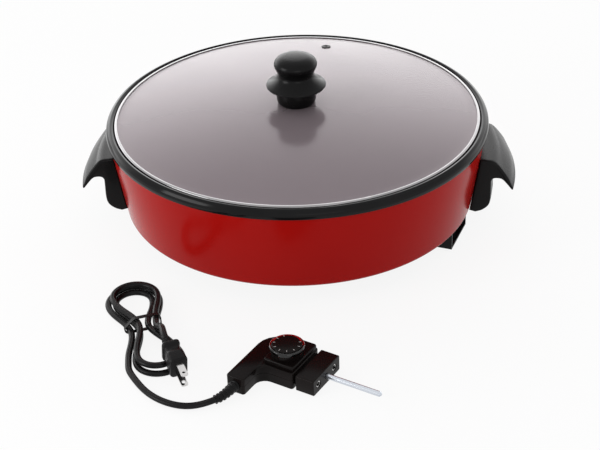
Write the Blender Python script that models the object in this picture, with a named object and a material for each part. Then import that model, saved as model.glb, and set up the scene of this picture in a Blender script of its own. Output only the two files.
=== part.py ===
"""Electric skillet: a cooking pan in a painted shell, a lift-off glass lid, a plug-in
heat control with a probe, and the control's mains lead folded into a tied hank.

Metres, +Z up. Everything stands on the plane z = 0. The two handles lie along X, and
the heat control and its lead lie in front of the skillet, towards -Y.
"""
import math

import bmesh
import bpy
from mathutils import Matrix, Vector

# Fits shared by all pieces
GAP = 0.0003
OVERRUN = 0.0015
ROUND_SEGMENTS = 52
MEDIUM_SEGMENTS = 24
SMALL_SEGMENTS = 12

# Stance of the skillet: its height, the air below its shell and the shell itself
SKILLET_HEIGHT = 0.1130
GROUND_CLEARANCE = 0.0210
SHELL_INSET = 0.0148
SHELL_SHEET = 0.0012
SHELL_CORNER = 0.0060
SHELL_LIP_WIDTH = 0.0120
SHELL_PLAY = 0.0005

# Pan: a flared wall, a ledge for the lid and a rim that hooks over the shell
RIM_RADIUS = 0.1900
RIM_WIDTH = 0.0130
RIM_TUCK = 0.0005
RIM_LIP = 0.0014
RIM_DROP = 0.0097
RIM_SHEET = 0.0032
RIM_SHARES = (
    (0.00, 0.35), (0.06, 0.60), (0.28, 0.87), (0.62, 1.00), (0.86, 0.94),
)
LEDGE_DROP = 0.0050
LEDGE_WIDTH = 0.0055
PAN_WALL = 0.0025
PAN_FLOOR = 0.0030
PAN_CORNER = 0.0060
PAN_FILLET = 0.0084
PAN_AIR = 0.0072

# Heating element, its terminals and the socket that the heat control plugs into
HEATER_DIAMETER = 0.0064
HEATER_INSET = 0.0572
HEATER_BEND = 0.0080
HEATER_STEP_ANGLE = math.radians(60.0)
SOCKET_ANGLE = math.radians(-18.0)
SOCKET_INSET = 0.0052
SOCKET_DEPTH = 0.0190
SOCKET_CLEARANCE = 0.0012
GUARD_WALL = 0.0016
GUARD_BACK = 0.0030
GUARD_EAR = 0.0095
GUARD_EAR_DEPTH = 0.0110
GUARD_EAR_SHEET = 0.0020
GUARD_SCREW_RADIUS = 0.0015
PIN_RADIUS = 0.0020
PIN_REACH = 0.0140
PIN_SPACING = 0.0270
BEAD_RADIUS = 0.0040
SLEEVE_WIDTH = 0.0110
SLEEVE_LENGTH = 0.0480
SLEEVE_ROUND = 0.0050

# Bottom cover, its centre stud and the feet
COVER_SHEET = 0.0008
COVER_OVERLAP = 0.0055
STUD_RADIUS = 0.0032
STUD_FLANGE = 0.0080
NUT_RADIUS = 0.0072
NUT_HEIGHT = 0.0050
FOOT_INSET = 0.0412
FOOT_RADIUS = 0.0105
FOOT_SHARES = ((0.80, 0.00), (0.88, 0.08), (1.00, 1.00))
FOOT_SINK_SHARE = 0.3
FOOT_SCREW_RADIUS = 0.0016
FOOT_SCREW_HEAD = 0.0040

# Handles: a hooked section swept round the shell, each on two screws and a bracket
HANDLE_REACH = 0.0337
HANDLE_HEIGHT = 0.0600
HANDLE_HALF_ANGLE = math.radians(12.0)
HANDLE_EDGE = 0.0018
HANDLE_SCREW_ANGLE = math.radians(7.0)
HANDLE_SCREW_HEIGHT = 0.0240
HANDLE_SCREW_RADIUS = 0.0020
HANDLE_SCREW_BORE = 0.0080
BRACKET_HEIGHT = 0.0140
BRACKET_SHEET = 0.0020
HANDLE_OUTLINE_SHARES = (
    (0.116, 1.000), (0.463, 0.967), (0.813, 0.733), (0.958, 0.567), (1.000, 0.525),
    (0.994, 0.497), (0.960, 0.497), (0.697, 0.658), (0.552, 0.683), (0.420, 0.670),
    (0.356, 0.625), (0.347, 0.550), (0.347, 0.283), (0.291, 0.150), (0.116, 0.050),
    (-0.086, 0.000),
)
HANDLE_FOOT_SHARES = (0.020, 0.060)

# Lid: a domed glass in a folded steel band, with a vent and a knob
LID_PLAY = 0.0010
LID_BAND_SHEET = 0.0005
LID_BAND_LIP = 0.0029
LID_SKIRT_DEPTH = 0.0045
LID_SKIRT_PLAY = 0.0012
GLASS = 0.0030
GLASS_BORDER = 0.0015
GLASS_RISE = 0.0130
VENT_INSET = 0.0281
VENT_ANGLE = math.radians(81.0)
VENT_RADIUS = 0.0026
VENT_FLANGE = 0.0052
VENT_SHEET = 0.0008
KNOB_BASE_RADIUS = 0.0197
KNOB_BASE_HEIGHT = 0.0177
KNOB_SKIRT_RADIUS = 0.0295
KNOB_CAP_RADIUS = 0.0212
KNOB_GRIP_HEIGHT = 0.0320
KNOB_SCREW_RADIUS = 0.0020
KNOB_BASE_SHARES = ((0.880, 0.00), (0.960, 0.12), (1.000, 0.45), (0.985, 0.80), (0.940, 1.00))
KNOB_SKIRT_SHARES = ((0.975, 0.000), (1.000, 0.020), (0.990, 0.058), (0.850, 0.130), (0.700, 0.240))
KNOB_CAP_SHARES = (
    (0.850, 0.370), (0.875, 0.500), (0.960, 0.620), (1.000, 0.710), (0.975, 0.800),
    (0.860, 0.895), (0.620, 0.965), (0.320, 0.992),
)

# Heat control: where it lies, its case in two halves and its connector block
CONTROL_X = 0.0042
CONTROL_AHEAD = 0.0843
CONTROL_ANGLE = math.radians(-28.0)
CASE_FRONT = 0.0175
CASE_NEAR = 0.0210
CASE_FAR = 0.0240
CASE_WALL = 0.0020
CASE_SPLIT_Z = 0.0090
CASE_DECK_Z = 0.0165
CASE_TOP_Z = 0.0205
CASE_SHOULDER = 0.0200
CASE_ELBOW = 0.0100
CASE_ROUND = 0.0025
CASE_EDGE = 0.0008
CASE_LEDGE = 0.0035
GRIP_BACK = 0.0330
GRIP_END = 0.0480
GRIP_WIDTH = 0.0180
PLATFORM_BACK = 0.0140
TURRET_RADIUS = 0.0142
TURRET_TOP_Z = 0.0256
BLOCK_WIDTH = 0.0450
BLOCK_DEPTH = 0.0180
BLOCK_HEIGHT = 0.0156
BLOCK_OFFSET = 0.0018
BLOCK_ROUND = 0.0016
BLOCK_GROOVE = 0.0030
NECK_WIDTH = 0.0360
NECK_HEIGHT = 0.0110
NECK_TAIL = 0.0040
NECK_FLANGE = 0.0016
NECK_LIP = 0.0015
SLEEVE_WALL = 0.0006
PROBE_RADIUS = 0.0025
PROBE_LENGTH = 0.0540
PROBE_TIP = 0.0015
THERMOSTAT_LENGTH = 0.0200
THERMOSTAT_WIDTH = 0.0160
THERMOSTAT_SHEET = 0.0010
LAMP_RADIUS = 0.0022
LAMP_CIRCLE = 0.0098
CASE_SCREW_RADIUS = 0.0014

# Dial on its shaft
DIAL_SKIRT_RADIUS = 0.0156
DIAL_SKIRT_HEIGHT = 0.0035
DIAL_FACE_RADIUS = 0.0135
DIAL_FACE_RISE = 0.0010
DIAL_SHAFT_RADIUS = 0.0030

# Mains lead, its strain relief and its plug
CORD_DIAMETER = 0.0060
RELIEF_LENGTH = 0.0230
RELIEF_ROOT = 0.0020
RELIEF_BEND = 0.0450
RELIEF_ROOT_RADIUS = 0.0052
RELIEF_TIP_RADIUS = 0.0041
RELIEF_GROOVE = 0.0007
RELIEF_DROP = 0.0025
RELIEF_RIBS = 6
HANK_X = -0.1290
HANK_AHEAD = 0.0292
HANK_ANGLE = math.radians(111.1)
HANK_RUN = 0.0950
HANK_FOLD = 0.0163
HANK_WAIST = 0.0020
HANK_STEP = 0.0067
HANK_WAIST_STEP = 0.0077
HANK_LAYER = 0.0066
HANK_RUNS = 6
HANK_CLIMB_RUN = 3
HANK_POINTS = 6
TIE_WIDTH = 0.0040
TIE_SHEET = 0.0008
TIE_ABOVE_WAIST = 0.0060
PLUG_FACE = (-0.0880, -0.1070, 0.0196)
PLUG_DIRECTION = (0.4219, -0.8840, -0.2009)
PLUG_LENGTH = 0.0270
PLUG_WIDTH = 0.0220
PLUG_THICKNESS = 0.0160
PLUG_ROUND = 0.0035
PLUG_NECK_LENGTH = 0.0080
PLUG_NECK_RADIUS = 0.0042
PLUG_SECTION_SHARES = (
    (0.00, 0.94, 0.94), (0.05, 1.00, 1.00), (0.42, 0.96, 0.96), (0.58, 0.80, 0.84),
    (0.70, 0.80, 0.84), (0.78, 0.98, 1.00), (0.88, 0.98, 1.00), (1.00, 0.66, 0.78),
)
BLADE_SPACING = 0.0127
BLADE_WIDTH = 0.0063
BLADE_LENGTH = 0.0160
BLADE_SHEET = 0.0015
BLADE_HOLE = 0.0017
BLADE_ROOT = 0.0040

# The lead's route from the strain relief to the hank: x, y and height, in metres,
# with x and y from the foremost point of the skillet's rim
LEAD_ROUTE = (
    (-0.0675, -0.1385, 0.0047),
    (-0.0760, -0.1396, 0.0038),
    (-0.0880, -0.1377, 0.0031),
    (-0.1025, -0.1312, 0.0030),
    (-0.1160, -0.1200, 0.0030),
    (-0.1268, -0.1055, 0.0030),
)
# The lead's route from the hank to the plug, in the same way
TAIL_ROUTE = (
    (-0.1155, -0.0400, 0.0150),
    (-0.1120, -0.0490, 0.0225),
    (-0.1092, -0.0560, 0.0265),
)


def clear_scene():
    for old in list(bpy.data.objects):
        bpy.data.objects.remove(old, do_unlink=True)


def make_material(name, color, roughness, metallic=0.0, transmission=0.0):
    material = bpy.data.materials.new(name)
    material.use_nodes = True
    shader = material.node_tree.nodes["Principled BSDF"]
    shader.inputs["Base Color"].default_value = (*color, 1.0)
    shader.inputs["Roughness"].default_value = roughness
    shader.inputs["Metallic"].default_value = metallic
    shader.inputs["Transmission Weight"].default_value = transmission
    material.diffuse_color = (*color, 1.0)
    material.roughness = roughness
    material.metallic = metallic
    return material


def add_mesh(name, bm, parent, material, matrix=None):
    """Make an object of a bmesh, given in its parent's frame or in `matrix` of it."""
    bmesh.ops.recalc_face_normals(bm, faces=bm.faces)
    mesh = bpy.data.meshes.new(name)
    bm.to_mesh(mesh)
    bm.free()
    obj = bpy.data.objects.new(name, mesh)
    bpy.context.scene.collection.objects.link(obj)
    obj.parent = parent
    if matrix is not None:
        obj.matrix_local = matrix
    mesh.materials.append(material)
    mesh.shade_smooth()
    mesh.set_sharp_from_angle(angle=math.radians(35.0))
    return obj


def add_empty(name, location, angle=0.0, parent=None):
    empty = bpy.data.objects.new(name, None)
    bpy.context.scene.collection.objects.link(empty)
    empty.parent = parent
    empty.location = location
    empty.rotation_euler = (0.0, 0.0, angle)
    return empty


def arc(centre, radius, start, end, steps):
    """Points of an arc in a plane, both ends included."""
    turns = (start + (end - start) * i / steps for i in range(steps + 1))
    return [(centre[0] + radius * math.cos(t), centre[1] + radius * math.sin(t)) for t in turns]


def rounded(corners, steps=4):
    """A closed outline of (x, y, radius) corners, each corner turned into an arc."""
    outline = []
    for i, (x, y, radius) in enumerate(corners):
        here = Vector((x, y))
        if radius == 0:
            outline.append((x, y))
            continue
        before = (Vector(corners[i - 1][:2]) - here).normalized()
        after = (Vector(corners[(i + 1) % len(corners)][:2]) - here).normalized()
        half = before.angle(after) / 2
        centre = here + (before + after).normalized() * (radius / math.sin(half))
        start = here + before * (radius / math.tan(half)) - centre
        end = here + after * (radius / math.tan(half)) - centre
        first = math.atan2(start.y, start.x)
        sweep = math.remainder(math.atan2(end.y, end.x) - first, math.tau)
        outline += arc(centre, radius, first, first + sweep, steps)
    return outline


def spun(outline, angle, steps):
    """Spin a closed (radius, z) outline about Z, from -angle / 2, or all the way round."""
    full = angle >= math.tau
    start = Matrix.Rotation(0.0 if full else -angle / 2, 4, "Z")
    bm = bmesh.new()
    section = [bm.verts.new(start @ Vector((r, 0.0, z))) for r, z in outline]
    edges = [bm.edges.new((section[i - 1], section[i])) for i in range(len(section))]
    if not full:
        bm.faces.new(section)
    swept = bmesh.ops.spin(
        bm, geom=edges, cent=(0, 0, 0), axis=(0, 0, 1), angle=angle, steps=steps, use_merge=full)
    if not full:
        bmesh.ops.contextual_create(bm, geom=[
            e for e in swept["geom_last"] if isinstance(e, bmesh.types.BMEdge)])
    bmesh.ops.remove_doubles(bm, verts=bm.verts, dist=GAP / 100)
    bmesh.ops.dissolve_degenerate(bm, edges=bm.edges, dist=GAP / 100)
    return bm


def turned(outline, segments=ROUND_SEGMENTS):
    return spun(outline, math.tau, segments)


def prism(outline, low, high):
    """A straight prism over a closed (x, y) outline."""
    bm = bmesh.new()
    base = bm.faces.new([bm.verts.new((x, y, low)) for x, y in outline])
    raised = bmesh.ops.extrude_face_region(bm, geom=[base])["geom"]
    top = [v for v in raised if isinstance(v, bmesh.types.BMVert)]
    bmesh.ops.translate(bm, verts=top, vec=(0, 0, high - low))
    return bm


def box(low, high):
    (x0, y0, z0), (x1, y1, z1) = low, high
    return prism([(x0, y0), (x1, y0), (x1, y1), (x0, y1)], z0, z1)


def rod(radius, low, high, segments=SMALL_SEGMENTS, tip=0.0):
    """A round bar along Z, its upper end drawn in over `tip` if that is given."""
    top = [(radius, high - tip), (radius * 0.4, high)] if tip else [(radius, high)]
    return turned([(0, low), (radius, low), *top, (0, high)], segments)


def ring(inner, outer, low, high, segments=SMALL_SEGMENTS):
    return turned([(inner, low), (outer, low), (outer, high), (inner, high)], segments)


def screw(radius, head_radius, head_height, length):
    """A pan-head screw along +Z from the underside of its head at z = 0."""
    return turned([
        (0, -head_height), (head_radius * 0.7, -head_height), (head_radius, -head_height * 0.5),
        (head_radius, 0), (radius, 0), (radius, length), (0, length)], SMALL_SEGMENTS)


def combine(obj, other, operation):
    """Cut `other` out of an object or join it on, through an exact Boolean."""
    other.hide_render = True
    other.display_type = "WIRE"
    change = obj.modifiers.new(other.name, "BOOLEAN")
    change.operation = operation
    change.solver = "EXACT"
    change.object = other


def cut(obj, bm, parent, material, matrix=None):
    combine(obj, add_mesh(f"cut_{obj.name}_{len(obj.modifiers)}", bm, parent, material, matrix),
            "DIFFERENCE")


def join(obj, bm, parent, material, matrix=None):
    combine(obj, add_mesh(f"cut_{obj.name}_{len(obj.modifiers)}", bm, parent, material, matrix),
            "UNION")


def soften(obj, width, segments=2, angle=math.radians(40.0)):
    bevel = obj.modifiers.new("edges", "BEVEL")
    bevel.width = width
    bevel.segments = segments
    bevel.limit_method = "ANGLE"
    bevel.angle_limit = angle
    bevel.harden_normals = False


def loft(outlines):
    """A closed body through a row of (x, y, z) outlines with the same number of points."""
    bm = bmesh.new()
    loops = []
    for outline in outlines:
        verts = [bm.verts.new(point) for point in outline]
        loops.append([bm.edges.new((verts[i - 1], verts[i])) for i in range(len(verts))])
    for first, second in zip(loops, loops[1:]):
        bmesh.ops.bridge_loops(bm, edges=first + second)
    for end in (loops[0], loops[-1]):
        bmesh.ops.contextual_create(bm, geom=end)
    return bm


def smooth_route(points, spacing):
    """Points about `spacing` apart on a smooth curve through the given ones."""
    knots = [Vector(p) for p in points]
    knots = [2 * knots[0] - knots[1], *knots, 2 * knots[-1] - knots[-2]]
    route = []
    for before, start, end, after in zip(knots, knots[1:], knots[2:], knots[3:]):
        count = max(1, round((end - start).length / spacing))
        leave, arrive = (end - before) / 2, (after - start) / 2
        for i in range(count):
            t = i / count
            route.append(start * (2 * t**3 - 3 * t**2 + 1) + leave * (t**3 - 2 * t**2 + t)
                         + end * (3 * t**2 - 2 * t**3) + arrive * (t**3 - t**2))
    return route + [knots[-2]]


def add_tube(name, points, radii, parent, material, resolution=2):
    """A solid tube: a poly curve with a round bevel, thick as `radii` says at each point."""
    curve = bpy.data.curves.new(name, "CURVE")
    curve.dimensions = "3D"
    curve.bevel_depth = max(radii)
    curve.bevel_resolution = resolution
    curve.use_fill_caps = True
    spline = curve.splines.new("POLY")
    spline.points.add(len(points) - 1)
    for target, point, radius in zip(spline.points, points, radii):
        target.co = (*point, 1.0)
        target.radius = radius / max(radii)
    curve.materials.append(material)
    obj = bpy.data.objects.new(name, curve)
    bpy.context.scene.collection.objects.link(obj)
    obj.parent = parent
    return obj


clear_scene()

# Materials
RED_PAINT = make_material("red_paint", (0.25, 0.008, 0.006), 0.25)
NON_STICK = make_material("black_coating", (0.02, 0.02, 0.021), 0.35, 0.2)
BLACK_PLASTIC = make_material("black_plastic", (0.012, 0.012, 0.013), 0.3)
BLACK_STEEL = make_material("black_steel", (0.03, 0.03, 0.032), 0.5, 0.6)
BRIGHT_STEEL = make_material("bright_steel", (0.62, 0.61, 0.6), 0.25, 1.0)
GLASS_TINT = make_material("smoked_glass", (0.4, 0.33, 0.36), 0.03, 0.0, 0.9)
CERAMIC = make_material("ceramic", (0.75, 0.72, 0.66), 0.6)
RED_LENS = make_material("red_lens", (0.5, 0.01, 0.01), 0.1, 0.0, 0.6)
BLACK_VINYL = make_material("black_vinyl", (0.015, 0.015, 0.016), 0.5)

# Heights and radii that the pieces of the skillet share
SHELL_FOOT_RADIUS = RIM_RADIUS - SHELL_INSET
HEATER_RADIUS = SHELL_FOOT_RADIUS - HEATER_INSET
SOCKET_FACE = SHELL_FOOT_RADIUS - SOCKET_INSET
FOOT_CIRCLE = SHELL_FOOT_RADIUS - FOOT_INSET
LEDGE_Z = SKILLET_HEIGHT - LEDGE_DROP
LEDGE_INNER = RIM_RADIUS - RIM_WIDTH
LEDGE_OUTER = LEDGE_INNER + LEDGE_WIDTH
RIM_BOTTOM_Z = SKILLET_HEIGHT - RIM_DROP
LIP_INNER = RIM_RADIUS - RIM_TUCK - RIM_LIP
RIM_UNDERSIDE_Z = LEDGE_Z - RIM_SHEET
SHELL_TOP_Z = LEDGE_Z - RIM_LIP - GAP
SHELL_TOP_RADIUS = LIP_INNER - SHELL_PLAY
SHELL_BEND_Z = RIM_BOTTOM_Z - RIM_LIP
SHELL_FLARE = (SHELL_TOP_RADIUS - SHELL_FOOT_RADIUS) / (SHELL_BEND_Z - GROUND_CLEARANCE)
LIP_RADIUS = SHELL_FOOT_RADIUS - SHELL_LIP_WIDTH
COVER_TOP_Z = GROUND_CLEARANCE - GAP
COVER_BOTTOM_Z = COVER_TOP_Z - COVER_SHEET
COVER_RADIUS = LIP_RADIUS + COVER_OVERLAP
PAN_BOTTOM_Z = GROUND_CLEARANCE + HEATER_DIAMETER + 2 * GAP
PAN_FLOOR_Z = PAN_BOTTOM_Z + PAN_FLOOR
HEATER_Z = PAN_BOTTOM_Z - GAP - HEATER_DIAMETER / 2
FOOT_TOP_Z = COVER_BOTTOM_Z - GAP
GUARD_TOP_Z = COVER_BOTTOM_Z - GAP
GUARD_INSIDE_HALF = BLOCK_WIDTH / 2 + SOCKET_CLEARANCE
GUARD_FLOOR_Z = GUARD_TOP_Z - BLOCK_HEIGHT - SOCKET_CLEARANCE
GUARD_BOTTOM_Z = GUARD_FLOOR_Z - GUARD_WALL
GUARD_INNER = SOCKET_FACE - SOCKET_DEPTH
SOCKET_Z = GUARD_FLOOR_Z + BLOCK_HEIGHT / 2
LID_Z = LEDGE_Z + GAP
BLOCK_Z = GAP + BLOCK_HEIGHT / 2
HANDLE_BOTTOM_Z = GROUND_CLEARANCE
HANDLE_SCREW_Z = HANDLE_BOTTOM_Z + HANDLE_SCREW_HEIGHT


# Turns a section drawn across (x) and up (y) so that its depth runs along +X
ALONG = Matrix(((0, 0, 1, 0), (1, 0, 0, 0), (0, 1, 0, 0), (0, 0, 0, 1)))


def shell_radius(z):
    """The shell's outer radius on its flared wall."""
    return SHELL_FOOT_RADIUS + (z - GROUND_CLEARANCE) * SHELL_FLARE


def ground_point(u, v, angle, x=0.0, y=0.0):
    """A point given along and across a direction in plan."""
    return (x + u * math.cos(angle) - v * math.sin(angle),
            y + u * math.sin(angle) + v * math.cos(angle))


def relief_route():
    """The strain relief's centre line in the heat control's frame: its root, then its bend."""
    x = -GRIP_BACK + GRIP_WIDTH / 2
    root = -GRIP_END + CASE_WALL + RELIEF_ROOT
    steps = 2 * RELIEF_RIBS
    turn = RELIEF_LENGTH / RELIEF_BEND
    points = [(x, root, BLOCK_Z)]
    for i in range(steps + 1):
        t = -turn * i / steps
        drop = RELIEF_DROP * (1 - math.cos(math.pi * i / steps)) / 2
        points.append((x - RELIEF_BEND * (1 - math.cos(t)),
                       -GRIP_END - GAP + RELIEF_BEND * math.sin(t), BLOCK_Z - drop))
    return points


# The skillet's axis is set back so that the middle of everything lies over the origin.
# What lies in front of it is placed from the foremost point of its rim.
RELIEF_POINTS = relief_route()
RELIEF_TIP = ground_point(*RELIEF_POINTS[-1][:2], CONTROL_ANGLE, CONTROL_X, -CONTROL_AHEAD)
SKILLET_Y = -(RELIEF_TIP[1] - RELIEF_TIP_RADIUS) / 2

SKILLET = add_empty("skillet", (0.0, SKILLET_Y, 0.0))
SOCKET = add_empty("socket", (0.0, 0.0, 0.0), SOCKET_ANGLE, SKILLET)
LID = add_empty("lid", (0.0, SKILLET_Y, LID_Z))
FRONT = add_empty("front", (0.0, SKILLET_Y - RIM_RADIUS, 0.0))
CONTROL = add_empty("heat_control", (CONTROL_X, -CONTROL_AHEAD, 0.0), CONTROL_ANGLE, FRONT)
DIAL = add_empty("dial", (0.0, 0.0, TURRET_TOP_Z + GAP), 0.0, CONTROL)
HANK = add_empty("hank", (HANK_X, -HANK_AHEAD, 0.0), HANK_ANGLE, FRONT)


def add_cooking_pan():
    """The pan is one casting: flat floor, flared wall, lid ledge and hooked rim."""
    foot = shell_radius(PAN_BOTTOM_Z) - PAN_AIR
    mouth = LEDGE_INNER + PAN_WALL
    outer = rounded([
        (0.0, PAN_BOTTOM_Z, 0), (foot, PAN_BOTTOM_Z, PAN_CORNER), (mouth, RIM_UNDERSIDE_Z, 0)], 2)
    crest = RIM_WIDTH - LEDGE_WIDTH
    rim = [
        (LIP_INNER - SHELL_SHEET - 2 * SHELL_PLAY - RIM_LIP, RIM_UNDERSIDE_Z),
        (LIP_INNER - SHELL_SHEET - 2 * SHELL_PLAY - RIM_LIP, LEDGE_Z - RIM_LIP),
        (LIP_INNER, LEDGE_Z - RIM_LIP),
        (LIP_INNER, RIM_BOTTOM_Z),
        (RIM_RADIUS - RIM_TUCK, RIM_BOTTOM_Z),
        *[(RIM_RADIUS - crest * back, RIM_BOTTOM_Z + RIM_DROP * up) for back, up in RIM_SHARES],
        (LEDGE_OUTER, LEDGE_Z + LEDGE_DROP / 2),
        (LEDGE_OUTER, LEDGE_Z),
        (LEDGE_INNER, LEDGE_Z),
    ]
    inner = rounded([
        (LEDGE_INNER, LEDGE_Z, 0), (foot - PAN_WALL, PAN_FLOOR_Z, PAN_FILLET),
        (0.0, PAN_FLOOR_Z, 0)], 3)
    return add_mesh("cooking_pan", turned(outer + rim + inner[1:]), SKILLET, NON_STICK)


def add_outer_shell():
    """The painted shell is a sheet drawn to a flared ring with a lip turned in below."""
    sheet = SHELL_SHEET
    outer = rounded([
        (LIP_RADIUS, GROUND_CLEARANCE, 0), (SHELL_FOOT_RADIUS, GROUND_CLEARANCE, SHELL_CORNER),
        (SHELL_TOP_RADIUS, SHELL_BEND_Z, 0), (SHELL_TOP_RADIUS, SHELL_TOP_Z, 0)], 3)
    inner = rounded([
        (SHELL_TOP_RADIUS - sheet, SHELL_TOP_Z, 0), (SHELL_TOP_RADIUS - sheet, SHELL_BEND_Z, 0),
        (SHELL_FOOT_RADIUS - sheet, GROUND_CLEARANCE + sheet, SHELL_CORNER - sheet),
        (LIP_RADIUS, GROUND_CLEARANCE + sheet, 0)], 3)
    shell = add_mesh("outer_shell", turned(outer + inner), SKILLET, RED_PAINT)
    for angle in handle_screw_angles(0) + handle_screw_angles(1):
        hole = rod(HANDLE_SCREW_RADIUS + GAP, shell_radius(HANDLE_SCREW_Z) - 3 * sheet,
                   shell_radius(HANDLE_SCREW_Z) + 2 * sheet)
        cut(shell, hole, SKILLET, RED_PAINT, radial_frame(angle, HANDLE_SCREW_Z))


def radial_frame(angle, z):
    """A frame whose +Z points out from the skillet's axis at an angle and a height."""
    return (Matrix.Rotation(angle, 4, "Z") @ Matrix.Translation((0, 0, z))
            @ Matrix.Rotation(math.pi / 2, 4, "Y"))


def handle_screw_angles(side):
    """Where a handle's two screws lie round the shell; side 0 is the right handle."""
    return [side * math.pi + turn * HANDLE_SCREW_ANGLE for turn in (-1, 1)]


def guard_screw_places():
    across = GUARD_INSIDE_HALF + GUARD_WALL + GUARD_EAR * 0.5
    return [(GUARD_INNER - GUARD_EAR_DEPTH * 0.15, turn * across) for turn in (-1, 1)]


def foot_places():
    return [math.radians(45 + 90 * i) for i in range(4)]


def add_handles():
    """Each handle is a hooked section spun round the shell, with counterbored screws."""
    wall = shell_radius(HANDLE_BOTTOM_Z + HANDLE_HEIGHT) + GAP
    outline = [(wall + HANDLE_REACH * r, HANDLE_BOTTOM_Z + HANDLE_HEIGHT * z)
               for r, z in HANDLE_OUTLINE_SHARES]
    low, high = (HANDLE_BOTTOM_Z + HANDLE_HEIGHT * z for z in HANDLE_FOOT_SHARES)
    outline += [(shell_radius(low) + GAP, low), (shell_radius(high) + GAP, high),
                (wall, HANDLE_BOTTOM_Z + HANDLE_HEIGHT)]
    leg = wall + HANDLE_REACH * HANDLE_OUTLINE_SHARES[-4][0]
    inside = shell_radius(HANDLE_SCREW_Z)
    seat = leg - HANDLE_SCREW_BORE
    for side, name in ((0, "right"), (1, "left")):
        frame = Matrix.Rotation(side * math.pi, 4, "Z")
        grip = add_mesh(f"handle_{name}", spun(outline, 2 * HANDLE_HALF_ANGLE, 6), SKILLET,
                        BLACK_PLASTIC, frame)
        soften(grip, HANDLE_EDGE)
        bracket_radius = shell_radius(HANDLE_SCREW_Z - BRACKET_HEIGHT / 2) - SHELL_SHEET - 2 * GAP
        strip = [(bracket_radius - BRACKET_SHEET, HANDLE_SCREW_Z - BRACKET_HEIGHT / 2),
                 (bracket_radius, HANDLE_SCREW_Z - BRACKET_HEIGHT / 2),
                 (bracket_radius, HANDLE_SCREW_Z + BRACKET_HEIGHT / 2),
                 (bracket_radius - BRACKET_SHEET, HANDLE_SCREW_Z + BRACKET_HEIGHT / 2)]
        bracket = add_mesh(f"handle_bracket_{name}", spun(strip, 1.5 * HANDLE_HALF_ANGLE, 4),
                           SKILLET, BLACK_STEEL, frame)
        for number, angle in enumerate(handle_screw_angles(side), 1):
            place = radial_frame(angle, HANDLE_SCREW_Z)
            bore = turned([
                (0, inside - 4 * BRACKET_SHEET), (HANDLE_SCREW_RADIUS + GAP, inside - 4 * BRACKET_SHEET),
                (HANDLE_SCREW_RADIUS + GAP, seat), (2 * HANDLE_SCREW_RADIUS + 2 * GAP, seat),
                (2 * HANDLE_SCREW_RADIUS + 2 * GAP, leg + HANDLE_REACH), (0, leg + HANDLE_REACH)],
                SMALL_SEGMENTS)
            cut(grip, bore, SKILLET, BLACK_PLASTIC, place)
            hole = rod(HANDLE_SCREW_RADIUS + GAP, inside - 4 * BRACKET_SHEET, inside)
            cut(bracket, hole, SKILLET, BLACK_STEEL, place)
            length = seat + GAP - bracket_radius + 2 * BRACKET_SHEET
            add_mesh(f"handle_screw_{name}_{number}",
                     screw(HANDLE_SCREW_RADIUS, 2 * HANDLE_SCREW_RADIUS, HANDLE_SCREW_RADIUS, length),
                     SKILLET, BRIGHT_STEEL,
                     place @ Matrix.Translation((0, 0, seat + GAP)) @ Matrix.Rotation(math.pi, 4, "X"))


def add_bottom_cover():
    """The cover closes the shell from below, with cuts for the terminals and the sleeve."""
    hole = STUD_RADIUS + GAP
    cover = add_mesh("bottom_cover", turned([
        (hole, COVER_BOTTOM_Z), (COVER_RADIUS, COVER_BOTTOM_Z), (COVER_RADIUS, COVER_TOP_Z),
        (hole, COVER_TOP_Z)]), SKILLET, BLACK_STEEL)
    low, high = COVER_BOTTOM_Z - OVERRUN, COVER_TOP_Z + OVERRUN
    half = SLEEVE_WIDTH / 2 + GAP
    inner = GUARD_INNER - GUARD_BACK - SLEEVE_LENGTH
    cut(cover, box((inner - 2 * GAP, -half, low), (GUARD_INNER - GUARD_BACK, half, high)),
        SOCKET, BLACK_STEEL)
    reach = (PIN_SPACING + HEATER_DIAMETER) / 2 + OVERRUN
    cut(cover, box((HEATER_RADIUS + HEATER_BEND / 2, -reach, low - OVERRUN),
                   (GUARD_INNER - 2 * GUARD_BACK, reach, high + OVERRUN)), SOCKET, BLACK_STEEL)
    for angle in foot_places():
        x, y = ground_point(FOOT_CIRCLE, 0.0, angle)
        cut(cover, rod(FOOT_SCREW_RADIUS + GAP, low, high), SKILLET, BLACK_STEEL,
            Matrix.Translation((x, y, 0)))
    for x, y in guard_screw_places():
        cut(cover, rod(GUARD_SCREW_RADIUS + GAP, low, high), SOCKET, BLACK_STEEL,
            Matrix.Translation((x, y, 0)))


def add_centre_stud():
    """A stud under the pan draws the cover up against the shell's lip with one nut."""
    top = PAN_BOTTOM_Z - GAP
    nut_top = COVER_BOTTOM_Z - GAP
    tail = nut_top - NUT_HEIGHT - STUD_RADIUS
    add_mesh("centre_stud", turned([
        (0, tail), (STUD_RADIUS, tail), (STUD_RADIUS, top - STUD_RADIUS / 2),
        (STUD_FLANGE, top - STUD_RADIUS / 2), (STUD_FLANGE, top), (0, top)], SMALL_SEGMENTS),
        SKILLET, BRIGHT_STEEL)
    hexagon = arc((0, 0), NUT_RADIUS, 0, math.tau * 5 / 6, 5)
    nut = add_mesh("centre_nut", prism(hexagon, nut_top - NUT_HEIGHT, nut_top), SKILLET, BRIGHT_STEEL)
    cut(nut, rod(STUD_RADIUS + GAP, tail, top), SKILLET, BRIGHT_STEEL)


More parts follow.
